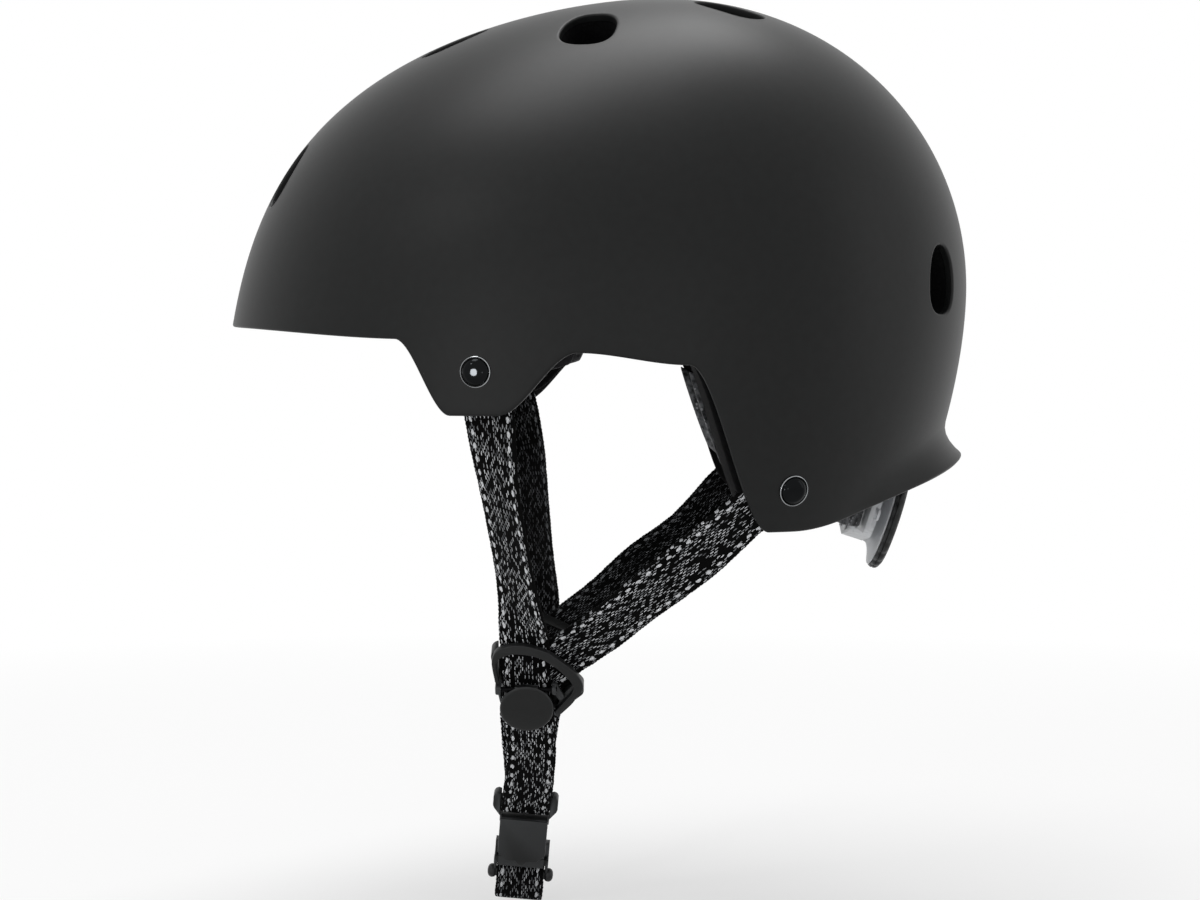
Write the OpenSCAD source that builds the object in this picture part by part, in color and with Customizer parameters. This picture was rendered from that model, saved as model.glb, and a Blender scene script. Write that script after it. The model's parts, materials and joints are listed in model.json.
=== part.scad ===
// Skate-style bicycle helmet, front towards -X, wearer's left side towards -Y.
// The origin is the middle of the head opening, in the plane of the front brim.
// All sizes are in millimetres.

/* [Shell] */
// Height of the crown above the brim plane
crown_h = 119.4; // [112:0.2:130]
// How far the crown lies behind the middle of the head opening
crown_x = 22; // [18:1:26]
// Reach of the shell in front of the crown
front_reach = 162.7; // [160:0.1:165]
// Reach of the shell behind the crown
rear_reach = 112.5; // [110:0.5:116]
// Greatest width of the shell
shell_w = 214; // [208:1:222]
// Wall of the outer shell
shell_t = 2.5; // [2:0.1:3]
// Drop from the brim plane to the edge beside the brow
brow_drop = 5.4; // [4:0.2:8]
// Drop to the lower edge of the front lobe
front_lobe_drop = 31; // [29:0.5:34]
// Drop to the edge above the ear
ear_drop = 10; // [8:0.5:13]
// Drop to the lower edge of the rear lobe
rear_lobe_drop = 70.2; // [68:0.2:74]
// Drop to the edge at the middle of the tail
tail_drop = 47; // [45:0.5:50]
// How far the tail lip stands out
tail_flare = 9.6; // [6:0.2:12]
// Height of the flared band
flare_h = 12.3; // [10:0.1:14]

/* [Liner] */
// Gap between shell and liner
bond_gap = 0.3; // [0.2:0.1:0.5]
// Liner thickness at the crown
liner_top_t = 24; // [20:0.5:26]
// Liner thickness at the brow and the back
liner_end_t = 28; // [25:0.5:30]
// Liner thickness at the sides
liner_side_t = 21; // [18:0.5:23]
// How far the liner's edge stays above the shell's edge
liner_lift = 3; // [2:0.5:4]

/* [Vents] */
// Length of a vent along the shell
vent_l = 26; // [22:0.5:28]
// Width of a vent
vent_w = 19; // [16:0.5:21]

/* [Straps] */
// Width of the webbing
web_w = 17.5; // [16:0.5:18]
// Thickness of the webbing
web_t = 1.5; // [1.3:0.1:1.6]
// Radius of a rivet's shank
rivet_r = 2.2; // [1.8:0.1:2.4]
// Radius of a rivet's domed head
rivet_head_r = 5.3; // [4.8:0.1:5.8]
// Height of a rivet's dome
rivet_dome_h = 2.2; // [1.6:0.1:2.8]
// Radius of a rivet washer
washer_r = 6; // [5.4:0.1:6.6]
// Thickness of a rivet washer
washer_t = 1; // [0.8:0.1:1.2]

/* [Strap dividers] */
// Radius of the round locking lever
lever_r = 9.2; // [8.6:0.1:9.6]
// Thickness of the locking lever
lever_t = 2.4; // [2:0.1:2.6]
// Radius of the lever's hinge pin
lever_pin_r = 0.8; // [0.6:0.05:1]
// Width of the arch that holds the straps
arch_w = 3.3; // [2.8:0.1:3.8]
// Thickness of the divider's back plate and arch
divider_t = 1.8; // [1.5:0.1:2.2]

/* [Buckle] */
// Width of the buckle's cover plate
cover_w = 17.4; // [16.6:0.2:18]
// Height of the buckle's cover plate
cover_h = 16.8; // [16:0.2:17.4]
// Thickness of the buckle's cover plate
cover_t = 1.6; // [1.2:0.1:2]
// Width across the ears of the buckle
buckle_w = 23.4; // [22.6:0.2:24]
// Radius of the bars that the webbing goes round
bar_r = 1.8; // [1.5:0.1:2]
// Running clearance between the buckle's halves
buckle_gap = 0.3; // [0.2:0.05:0.4]
// Radius of a buckle magnet
magnet_r = 1.4; // [1.1:0.1:1.5]
// Length of a buckle magnet
magnet_l = 3; // [2.4:0.1:3.4]

/* [Fit system] */
// Radius of the dial's cap
dial_r = 21; // [19:0.5:22]
// Thickness of the dial's cap
dial_cap_t = 4; // [3.4:0.2:4.6]
// Thickness of the dial's dish
dial_dish_t = 4.6; // [4:0.2:5]
// Tooth module of pinion and racks
tooth_m = 0.8; // [0.7:0.05:0.85]
// Number of teeth on the pinion, an even number
pinion_teeth = 10; // [10:2:12]
// Travel of each toothed strip
fit_travel = 12; // [8:0.5:13]
// Height of a toothed strip
strip_h = 15.2; // [14.6:0.2:16]
// Thickness of a toothed strip
strip_t = 1.6; // [1.3:0.1:1.8]
// Width of the housing
housing_w = 56; // [54:1:60]
// Radius of the pinion's shaft
pinion_shaft_r = 3; // [2.6:0.1:3.2]
// Radial clearance of a shaft in its bore
shaft_gap = 0.05; // [0.03:0.01:0.08]

/* [Pads] */
// Thickness of the brow, crown and temple pads
pad_t = 5.5; // [4:0.5:6.5]
// Thickness of the padded arms
arm_pad_t = 4.6; // [3.6:0.2:5.2]
// Gap between a soft pad and what carries it
pad_gap = 0.3; // [0.2:0.05:0.5]

/* [Hidden] */
$fn = 48;

shell_black = [0.17, 0.175, 0.175];
foam_black = [0.1, 0.1, 0.1];
pad_grey = [0.36, 0.36, 0.37];
web_black = [0.16, 0.16, 0.17];
metal = [0.8, 0.8, 0.82];
plastic_black = [0.13, 0.135, 0.135];
plastic_grey = [0.66, 0.67, 0.69];

// Shape of the shell's side view, front and back, and of its front view.
// Each pair of powers bends a quarter curve between a circle and a square.
front_base = -300;
front_n = 8.314;
front_m = 1.7;
rear_base = 13.6;
rear_n = 2.02;
rear_m = 2.086;
side_base = 15;
side_n = 2.1;
side_m = 2.2;
plan_power = 2.15;
nape_in = 11.8;
nape_h = 63;
nape_power = 1.76;
side_tuck = 9;
side_tuck_h = 89;

// Stations along the shell's edge, in X
brow_end_x = -68;
lobe_front_x = -49;
lobe_back_x = -33;
ear_front_x = -6;
ear_back_x = 31;
rear_lobe_x = 58;
tail_start_x = 66;
// Fall of the edge above the ear from front to back
ear_slope = 4;

function clamp01(s) = min(1, max(0, s));
function ramp(a, b, x) = let (s = clamp01((x - a) / (b - a))) s * s * (3 - 2 * s);
function unit(v) = v / max(norm(v), 1e-9);
function mix(a, b, s) = a + (b - a) * s;
function lift_power(s, n) = sign(s) * pow(abs(s), n);

// Share of a reach that is left at height z
function fall(z, base, n, m) =
  pow(max(0, 1 - pow(clamp01((z - base) / (crown_h - base)), n)), 1 / m);
function front_a(z) = front_reach * fall(z, front_base, front_n, front_m);
function rear_a(z) = rear_reach * fall(z, rear_base, rear_n, rear_m)
  - nape_in * pow(max(0, (rear_base - z) / nape_h), nape_power);
function half_w(z) = shell_w / 2 * fall(z, side_base, side_n, side_m)
  - side_tuck * pow(max(0, (side_base - z) / side_tuck_h), 2);

// Point on the outer surface at a bearing from the front, 0 to 180 on the left side
function on_shell(bearing, z) =
  let (c = cos(bearing), s = sin(bearing))
  [crown_x - lift_power(c, 2 / plan_power) * (c > 0 ? front_a(z) : rear_a(z)),
   -lift_power(s, 2 / plan_power) * half_w(z), z];

// Height of the shell's edge at a station
function rim(x) =
  -brow_drop * ramp(crown_x - front_reach - 15, brow_end_x + 8, x)
  - (front_lobe_drop - brow_drop) * ramp(brow_end_x, lobe_front_x, x)
  + (front_lobe_drop - ear_drop) * ramp(lobe_back_x, ear_front_x, x)
  - ear_slope * ramp(ear_front_x, ear_back_x, x)
  - (rear_lobe_drop - ear_drop - ear_slope) * ramp(ear_back_x, rear_lobe_x, x)
  + (rear_lobe_drop - tail_drop) * ramp(tail_start_x, tail_start_x + 95, x) * tail_gain;
tail_gain = 1 / ramp(tail_start_x, tail_start_x + 95, crown_x + rear_a(-tail_drop));

// Bearing of the edge's point at a station on the side
function bearing_at(x) =
  let (z = rim(x), r = (x - crown_x) / (x < crown_x ? front_a(z) : rear_a(z)))
  acos(-sign(r) * pow(min(1, abs(r)), plan_power / 2));
// Height of the edge at a bearing, where the edge slopes gently
function edge_z(bearing, z = -30, left = 14) =
  left == 0 ? z : edge_z(bearing, rim(on_shell(bearing, z)[0]), left - 1);

// Columns of the shell, each [bearing, edge height], from front to back on the left
side_x = [for (s = [[brow_end_x, lobe_front_x, 5], [lobe_front_x, lobe_back_x, 2],
                    [lobe_back_x, ear_front_x, 5], [ear_front_x, ear_back_x, 4],
                    [ear_back_x, rear_lobe_x, 9], [rear_lobe_x, 82, 4]])
             for (i = [0 : s[2] - 1]) s[0] + (s[1] - s[0]) * i / s[2]];
front_cols = 8;
rear_cols = 11;
first_bearing = bearing_at(brow_end_x);
last_bearing = bearing_at(82);
half_ring = concat(
  [for (i = [0 : front_cols - 1]) let (b = first_bearing * i / front_cols) [b, edge_z(b, 0)]],
  [for (x = side_x) [bearing_at(x), rim(x)]],
  [for (i = [0 : rear_cols]) let (b = mix(last_bearing, 180, i / rear_cols)) [b, edge_z(b)]]);
half_n = len(half_ring);
ring = concat(half_ring, [for (i = [half_n - 2 : -1 : 1]) [360 - half_ring[i][0], half_ring[i][1]]]);
cols = len(ring);

// Rows of the shell: evenly round the dome, then closer over the flared band
dome_rows = 13;
band_rows = 3;
rows = dome_rows + band_rows;
function row_z(i, edge) =
  let (band = edge + flare_h)
  crown_h - (crown_h - band) * (1 - cos(90 * i / dome_rows));
function flared(p, edge, flare) =
  let (out = unit([p[0] - crown_x, p[1] * 0.8, 0]),
       near = clamp01(1 - (p[2] - edge) / flare_h))
  p + out * flare * ramp(86, 124, p[0]) * pow(near, 2);
// Shell and liner share their dome rows, so that their facets lie side by side
function grid_point(col, i, lift, flare) =
  let (edge = col[1],
       z = i <= dome_rows ? row_z(i, edge) : mix(edge + flare_h, edge + lift, (i - dome_rows) / band_rows))
  flared(on_shell(col[0], z), edge, flare);
// Lift of the liner's edge, greater over the fit dial. Behind the ear the liner reaches
// further forward than the shell.
ear_forward = 2.5;
dial_lift = 7;
function edge_lift(col) =
  let (x = on_shell(col[0], col[1])[0],
       forward = ear_forward * ramp(20, ear_back_x + 3, x) * (1 - ramp(rear_lobe_x - 8, rear_lobe_x + 4, x)))
  liner_lift + dial_lift * ramp(60, 100, x) + rim(x + forward) - rim(x);

function shell_grid() = [for (i = [1 : rows]) [for (c = ring) grid_point(c, i, 0, tail_flare)]];
function liner_grid() = [for (i = [1 : rows]) [for (c = ring) grid_point(c, i, edge_lift(c), 0)]];

// Outward direction at each point of a grid
function outward(g, i, j) =
  let (n = len(g[0]), across = g[i][(j + 1) % n] - g[i][(j + n - 1) % n],
       top = i == 0 ? [crown_x, 0, crown_h] : g[i - 1][j],
       down = g[min(i + 1, len(g) - 1)][j] - top)
  unit(cross(down, across));
function inset(g, depth) =
  [for (i = [0 : len(g) - 1]) [for (j = [0 : len(g[0]) - 1]) g[i][j] - outward(g, i, j) * depth]];

// Thickness of the liner at a point of its own outer grid
function liner_t(p) =
  let (r = clamp01(abs(p[0] - crown_x) / 100), side = mix(liner_side_t, liner_end_t, r * r),
       body = mix(side, liner_top_t, ramp(60, 110, p[2])))
  body * (1 - 0.38 * ramp(-12, -60, p[2]));
function liner_outer() = inset(liner_grid(), shell_t + bond_gap);
function liner_inner() =
  let (g = liner_grid())
  [for (i = [0 : rows - 1]) [for (j = [0 : cols - 1])
    g[i][j] - outward(g, i, j) * (shell_t + bond_gap + liner_t(g[i][j]))]];

// Closed wall between an outer and an inner grid that end in the same edge
module domed_wall(outer, inner, top_out, top_in) {
  n = len(outer[0]);
  m = len(outer);
  points = concat([for (r = outer) each r], [for (r = inner) each r], [top_out, top_in]);
  shift = n * m;
  quads = [for (i = [0 : m - 2]) for (j = [0 : n - 1])
             let (a = i * n + j, b = i * n + (j + 1) % n) [a, b, b + n, a + n]];
  edge = [for (j = [0 : n - 1])
            let (a = (m - 1) * n + j, b = (m - 1) * n + (j + 1) % n) [a, b, b + shift, a + shift]];
  faces = concat(
    [for (q = quads) each [[q[0], q[1], q[2]], [q[0], q[2], q[3]]]],
    [for (q = quads) each [[q[2] + shift, q[1] + shift, q[0] + shift],
                           [q[3] + shift, q[2] + shift, q[0] + shift]]],
    [for (q = edge) each [[q[0], q[1], q[2]], [q[0], q[2], q[3]]]],
    [for (j = [0 : n - 1]) [2 * shift, (j + 1) % n, j]],
    [for (j = [0 : n - 1]) [2 * shift + 1, j + shift, (j + 1) % n + shift]]);
  polyhedron(points, faces, convexity = 10);
}

// Left point and outward direction of the shell at a station and height
function side_y(x, z) =
  let (a = x < crown_x ? front_a(z) : rear_a(z))
  half_w(z) * pow(max(0, 1 - pow(min(1, abs(x - crown_x) / a), plan_power)), 1 / plan_power);
function side_point(x, z) = [x, -side_y(x, z), z];
function side_out(x, z) =
  unit(cross(side_point(x + 1, z) - side_point(x - 1, z), side_point(x, z + 1) - side_point(x, z - 1)));
function inside_shell(x, z, depth) = side_point(x, z) - side_out(x, z) * depth;

function shell_out(bearing, z) =
  unit(cross(on_shell(bearing - 1, z) - on_shell(bearing + 1, z),
             on_shell(bearing, z - 1) - on_shell(bearing, z + 1)));
// Point at a depth inwards from the liner's inner face
function liner_point(bearing, z, depth) =
  let (p = on_shell(bearing, z))
  p - shell_out(bearing, z) * (shell_t + bond_gap + liner_t(p) + depth);
function liner_side(x, z, depth) =
  let (p = side_point(x, z)) p - side_out(x, z) * (shell_t + bond_gap + liner_t(p) + depth);

// Turns local +Z to a direction, with local +Y as near as can be to a second one
module aim(at, out, up = [0, 0, 1]) {
  x = unit(cross(up, out));
  y = cross(out, x);
  multmatrix([[x[0], y[0], out[0], at[0]], [x[1], y[1], out[1], at[1]],
              [x[2], y[2], out[2], at[2]], [0, 0, 0, 1]])
    children();
}
module both_sides() {
  children();
  mirror([0, 1, 0]) children();
}

// Vents, each [bearing, height, length, width, turn]; one of each pair
vents = [
  [14, 54, vent_l, vent_w - 3, 0],
  [24, 101.6, vent_l, vent_w - 1, -20],
  [72.5, 103.4, vent_l - 1, vent_w, 0],
  [126, 113, vent_l, vent_w - 1, 25],
  [150, 15.5, vent_l - 2, vent_w, 0]];
module vent_outline(l, w) {
  polygon([for (k = [0 : 23])
    let (a = k * 15, r = 1 - 0.14 * sin(a))
    [w / 2 * lift_power(cos(a), 0.82) * r, l / 2 * lift_power(sin(a), 0.82)]]);
}
module vent_cuts() {
  both_sides()
    for (v = vents)
      aim(on_shell(v[0], v[1]), shell_out(v[0], v[1])) rotate(v[4])
        translate([0, 0, -34]) linear_extrude(48) vent_outline(v[2], v[3]);
}

// Rivets that hold the webbing, each [x, z]; one of each pair
front_rivet = [-40, -16.2];
rear_rivet = [66, -56];
rivets = [front_rivet, rear_rivet];
hole_gap = 0.1;
// The webbing lies flat under the curved shell
strap_room = 0.8;
strap_depth = shell_t + strap_room + web_t / 2;
washer_depth = shell_t + strap_room + web_t + 0.25 + washer_t;
module at_rivets() {
  both_sides()
    for (r = rivets) aim(side_point(r[0], r[1]), side_out(r[0], r[1])) children();
}
// Room for webbing, washer and rivet tail between shell and liner
pocket_depth = washer_depth + 1.6;
module strap_pockets() {
  both_sides() {
    aim(side_point(front_rivet[0], front_rivet[1]), side_out(front_rivet[0], front_rivet[1]))
      rotate(8) translate([-web_w / 2 - 1, -40, -pocket_depth]) cube([web_w + 2, 52, pocket_depth + 4]);
    aim(side_point(rear_rivet[0], rear_rivet[1]), side_out(rear_rivet[0], rear_rivet[1]))
      rotate(-57) translate([-web_w / 2 - 1, -50, -pocket_depth])
        cube([web_w + 2, 62, pocket_depth + 4]);
  }
}

module outer_shell() {
  outer = shell_grid();
  color(shell_black)
    difference() {
      domed_wall(outer, inset(outer, shell_t), [crown_x, 0, crown_h],
                 [crown_x, 0, crown_h - shell_t]);
      vent_cuts();
      at_rivets() cylinder(r = rivet_r + hole_gap, h = 20, center = true);
    }
}

module foam_liner() {
  top = crown_h - shell_t - bond_gap;
  color(foam_black)
    difference() {
      domed_wall(liner_outer(), liner_inner(), [crown_x, 0, top],
                 [crown_x, 0, top - liner_top_t]);
      vent_cuts();
      strap_pockets();
      for (y = [-1, 1])
        translate([stem_x - 20, y * stem_pin_y, stem_pin_z]) rotate([0, 90, 0])
          cylinder(r = stem_pin_r + 0.02, h = 20 + stem_pin_l);
    }
}

// Dome, shank and flared tail of one rivet; the shell's outer face is at z = 0
module rivet() {
  bow = (rivet_head_r * rivet_head_r + rivet_dome_h * rivet_dome_h) / (2 * rivet_dome_h);
  stack = washer_depth + 0.1;
  intersection() {
    translate([0, 0, rivet_dome_h - bow + 0.35]) sphere(r = bow);
    translate([0, 0, 0.35]) cylinder(r = rivet_head_r, h = rivet_dome_h);
  }
  translate([0, 0, 0.05]) cylinder(r = rivet_head_r, h = 0.3);
  translate([0, 0, -stack]) cylinder(r = rivet_r, h = stack + 0.1);
  translate([0, 0, -stack - 0.9]) cylinder(r1 = rivet_r + 0.6, r2 = rivet_r + 1.4, h = 0.9);
}
module shell_rivets() {
  color(metal) at_rivets() rivet();
}
module rivet_washers() {
  color(metal)
    at_rivets() translate([0, 0, -washer_depth])
      difference() {
        cylinder(r = washer_r, h = washer_t);
        translate([0, 0, -1]) cylinder(r = rivet_r + hole_gap, h = washer_t + 2);
      }
}

// Smooth curve through control points, each a list of numbers, with steps in each span
function curve(p, steps) = concat(
  [for (i = [0 : len(p) - 2]) for (k = [0 : steps - 1])
    let (a = p[max(i - 1, 0)], b = p[i], c = p[i + 1], d = p[min(i + 2, len(p) - 1)], t = k / steps)
    0.5 * (2 * b + (c - a) * t + (2 * a - 5 * b + 4 * c - d) * t * t
           + (3 * b - a - 3 * c + d) * t * t * t)],
  [p[len(p) - 1]]);
// Flat band along a curve. A point of it is [x, y, z, face x, face y, face z, width, thickness],
// and its face is the way that its broad side looks. Crown rounds the broad faces.
function band_ring(p, i, crown) =
  let (n = len(p), at = [p[i][0], p[i][1], p[i][2]],
       b = p[max(i - 1, 0)], f = p[min(i + 1, n - 1)],
       along = unit([f[0] - b[0], f[1] - b[1], f[2] - b[2]]),
       look = [p[i][3], p[i][4], p[i][5]],
       face = unit(look - along * (look * along)), side = cross(along, face),
       w = p[i][6] / 2, t = p[i][7] / 2)
  crown == 0
    ? [at - side * w - face * t, at + side * w - face * t,
       at + side * w + face * t, at - side * w + face * t]
    : [at - side * w - face * t * 0.3, at - side * w * 0.72 - face * t * 0.9, at - face * t,
       at + side * w * 0.72 - face * t * 0.9, at + side * w - face * t * 0.3,
       at + side * w + face * t * 0.3, at + side * w * 0.72 + face * t * 0.85, at + face * t,
       at - side * w * 0.72 + face * t * 0.85, at - side * w + face * t * 0.3];
module band(p, crown = 0) {
  rings = [for (i = [0 : len(p) - 1]) band_ring(p, i, crown)];
  k = len(rings[0]);
  last = (len(p) - 1) * k;
  faces = concat(
    [for (i = [0 : len(p) - 2]) for (j = [0 : k - 1])
       let (a = i * k + j, b = i * k + (j + 1) % k) each [[a, b, b + k], [a, b + k, a + k]]],
    [for (j = [1 : k - 2]) [0, j + 1, j]],
    [for (j = [1 : k - 2]) [last, last + j, last + j + 1]]);
  polyhedron([for (r = rings) each r], faces, convexity = 6);
}

// Strap divider: its middle is the middle of the lever, on the webbing's middle plane
divider_at = [-25, -46, -132.4];
divider_lean = 28;
lay = web_t / 2 + 0.15;
module at_divider() {
  translate(divider_at) rotate([90 + divider_lean, 0, 0]) children();
}
// Point of the divider's own frame in the part's frame
function divider_point(u, v, n) =
  divider_at + [u, -v * sin(divider_lean) - n * cos(divider_lean),
                v * cos(divider_lean) - n * sin(divider_lean)];

// Buckle: its middle, its lean to the back and its tilt towards the left strap
buckle_at = [-28, -10, -187.1];
buckle_lean = 5;
buckle_tilt = 18;
module at_buckle() {
  translate(buckle_at) rotate([0, buckle_lean, 0]) rotate([90 + buckle_tilt, 0, 0]) children();
}
// Point of the buckle's own frame, across, up and out, in the part's frame
function buckle_point(x, y, n) =
  let (up = y * cos(buckle_tilt) - n * sin(buckle_tilt),
       out = y * sin(buckle_tilt) + n * cos(buckle_tilt))
  buckle_at + [x * cos(buckle_lean) + up * sin(buckle_lean), -out,
               up * cos(buckle_lean) - x * sin(buckle_lean)];
top_bar_y = 13;
low_bar_y = -15.4;
loop_r = bar_r + 0.25 + web_t / 2;
layer_gap = web_t + 0.35;

function web(at, face) = concat(at, face, [web_w, web_t]);
function flip(p) = [for (q = p) [q[0], -q[1], q[2], q[3], -q[4], q[5], q[6], q[7]]];
function reversed(p) = [for (i = [len(p) - 1 : -1 : 0]) p[i]];
function turned(p) = [for (q = p) [q[0], q[1], q[2], -q[3], -q[4], -q[5], q[6], q[7]]];
// Webbing through points [across, up, out] of the buckle's frame, broad side square to the way
function buckle_web(p) =
  [for (i = [0 : len(p) - 1])
    let (way = p[min(i + 1, len(p) - 1)] - p[max(i - 1, 0)])
    web(buckle_point(p[i][0], p[i][1], p[i][2]), buckle_point(0, way[2], -way[1]) - buckle_at)];

divider_face = [0, -cos(divider_lean), -sin(divider_lean)];
// Webbing from the front rivet to the divider, on the left side. The sway is how much further
// back its hanging length runs.
function front_leg(sway = 0) =
  let (r = front_rivet, out = side_out(r[0], r[1]))
  concat([for (s = [[-0.6, 9, 0], [0, 0, 0], [2, -9, 0], [3.3, -15, 0.6]])
            web(inside_shell(r[0] + s[0], r[1] + s[1], strap_depth + s[2]), out)],
         [web([sway - 33.1, -90.5, -52.5], [-0.58, -0.81, 0]),
          web([0.6 * sway - 29.6, -81, -75.5], [-0.61, -0.79, -0.05]),
          web([0.25 * sway - 26.8, -68, -96], [-0.5, -0.84, -0.2]),
          web(divider_point(-0.4, 24, lay), divider_face),
          web(divider_point(-0.3, 12, lay), divider_face),
          web(divider_point(0.4, -2, lay), divider_face),
          web(divider_point(1.1, -12, lay), divider_face)]);
// Webbing from the rear rivet to the divider, on the left side
function rear_leg(sag = 0) =
  let (r = rear_rivet, out = side_out(r[0], r[1]))
  concat([for (s = [[7.4, 4.9, 0], [0, 0, 0], [-7.6, -4.9, 0], [-15, -10, 1.4]])
            web(inside_shell(r[0] + s[0], r[1] + s[1], strap_depth + s[2]), out)],
         [web([34, -82.5, -79.2 - sag], [0.1, -0.97, -0.2]), web([15, -72, -94.8], [0.12, -0.93, -0.35]),
          web([1.5, -61.8, -106.4], [0.05, -0.9, -0.43]),
          web(divider_point(14, 18.6, -lay - 0.1), divider_face),
          web(divider_point(8.6, 13.4, -lay), divider_face),
          web(divider_point(1, 5, -lay), divider_face),
          web(divider_point(-0.8, -3, -lay), divider_face),
          web(divider_point(-1, -12, -lay), divider_face)]);

// Left webbing: down to the buckle's upper bar, round it, and up again as the rear leg
pull = 22;
module rivet_holes() {
  at_rivets() translate([0, 0, -10]) cylinder(r = rivet_r + hole_gap, h = 10);
}
module left_strap() {
  way = [cos(pull), sin(pull)];
  function off_bar(x, a, run) =
    [x, top_bar_y - loop_r * sin(a) + run * way[0], loop_r * cos(a) + run * way[1]];
  down = curve(concat(front_leg(),
    [web([-24, -35, -153.4], [0, -0.79, -0.61])],
    buckle_web([off_bar(1, pull, 13), off_bar(0.4, pull, 6), off_bar(0, pull, 0.5)])), 3);
  turn = buckle_web([for (a = [pull : 30 : pull + 180])
    [0, top_bar_y - loop_r * sin(a), loop_r * cos(a)]]);
  up = curve(concat(
    buckle_web([off_bar(0, pull + 180, 0.5), off_bar(0.2, pull + 180, 6),
                off_bar(0.4, pull + 175, 13)]),
    [web([-25.6, -32.6, -152.8], [0, 0.79, 0.61])], turned(reversed(rear_leg()))), 3);
  color(web_black)
    difference() {
      band(concat(down, turn, up));
      rivet_holes();
    }
}

// Right webbing: both legs run down behind the buckle to where the loop begins. It hangs a
// little further back than the left webbing, and its rear leg a little lower.
right_sway = 2.4;
right_sag = 2.6;
split = [-7.6, -10.8];
rise = [0.575, -0.818];
loop_gap = 0.7;
function behind(run, layer) =
  buckle_point(-0.5, split[0] + rise[0] * run + rise[1] * layer, split[1] + rise[1] * run - rise[0] * layer);
module right_front_strap() {
  color(web_black)
    difference() {
      band(curve(concat(flip(front_leg(right_sway)),
        [web(behind(36, layer_gap), [0, 0.8, -0.6]), web(behind(16, layer_gap), [0, 0.8, -0.6]),
         web(behind(loop_gap, layer_gap), [0, 0.8, -0.6])]), 3));
      rivet_holes();
    }
}
module right_rear_strap() {
  color(web_black)
    difference() {
      band(curve(concat(flip(rear_leg(right_sag)),
        [web(behind(36, 0), [0, 0.8, -0.6]), web(behind(16, 0), [0, 0.8, -0.6]),
         web(behind(loop_gap, 0), [0, 0.8, -0.6])]), 3));
      rivet_holes();
    }
}
// Loop of the right webbing round the lower bar, carried by the lower half
module buckle_loop() {
  first = split + [rise[1], -rise[0]] * layer_gap;
  start = [[-0.5, first[0], first[1]], [-0.4, first[0] - 3.4, first[1] + 4.6], [-0.2, -17.4, -5.4],
           [0, -22.2, -4.6], [0, -25.3, -1.2], [0, -23.9, 2], [0, -19, loop_r - 0.05]];
  over = [for (a = [0 : 30 : 90]) [0, low_bar_y + loop_r * sin(a), loop_r * cos(a)]];
  out = [[-0.1, -12.7, -2.6], [-0.3, -11.3, -6.2], [-0.5, split[0], split[1]]];
  color(web_black) band(buckle_web(curve(concat(start, over, out), 2)));
}

// Outline of a strap divider, arch end up. The plate behind the webbing ends lower.
plate_drop = 3;
module divider_outline(drop = 0) {
  hull() {
    translate([-9.3, 19.7 - drop]) circle(r = 2.9);
    translate([-1, 16.6 - drop]) circle(r = 8);
    translate([8, 13 - drop]) circle(r = 7.3);
    translate([17.1, 8.4 - drop]) circle(r = 2.9);
    circle(r = lever_r + 0.9);
  }
}
lever_pin_y = 7.6;
lever_pin_n = 4.3;
ear_x = lever_r - 0.3;
barrel_r = 1.6;
arch_low = 2 * lay + 0.3;
module divider_frame() {
  back = -2 * lay - 0.3;
  floor_n = back - divider_t;
  top_n = arch_low + divider_t + 0.4;
  color(plastic_black)
    at_divider()
      difference() {
        union() {
          // Back plate, with a window under the arch
          translate([0, 0, floor_n]) linear_extrude(divider_t)
            difference() {
              divider_outline(plate_drop);
              intersection() {
                offset(r = -arch_w) divider_outline(plate_drop);
                translate([-20, lever_pin_y + 3]) square([50, 30]);
              }
            }
          // Arch over the webbing
          translate([0, 0, arch_low]) linear_extrude(top_n - arch_low)
            difference() {
              divider_outline();
              offset(r = -arch_w) divider_outline();
              circle(r = lever_r + 0.5);
              translate([-30, -40]) square([30, 40 + 4]);
              translate([-30, -45]) square([60, 40]);
            }
          // Walls that join arch and plate beside the webbing
          translate([0, 0, floor_n]) linear_extrude(top_n - floor_n)
            union() {
              intersection() {
                divider_outline();
                translate([-40, 9]) square([40 - 9.7, 20]);
              }
              intersection() {
                divider_outline(plate_drop);
                difference() {
                  polygon([[9, -5], [40, -5], [40, 9], [17.2, 9], [12.2, 3]]);
                  circle(r = lever_r + 0.5);
                }
              }
            }
          // Ears for the lever's pin, joined to the arch's legs
          for (x = [-ear_x - 1.8, ear_x])
            translate([x, lever_pin_y - 1.7, arch_low]) cube([1.8, 3.4, lever_pin_n + 1.3 - arch_low]);
          translate([ear_x, lever_pin_y - 1.7, arch_low]) cube([17 - ear_x, 3.4, top_n - arch_low]);
        }
        translate([0, lever_pin_y, lever_pin_n]) rotate([0, 90, 0])
          cylinder(r = lever_pin_r, h = 2 * ear_x + 3.7, center = true);
        // Room for the lever's barrel
        translate([0, lever_pin_y, lever_pin_n]) rotate([0, 90, 0])
          cylinder(r = barrel_r + 0.25, h = 2 * ear_x, center = true);
        // Room for the webbing to leave at the lower end
        translate([-web_w / 2 - 1, -30, back]) cube([web_w + 2, 30 - 2, 30]);
      }
}
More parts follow.
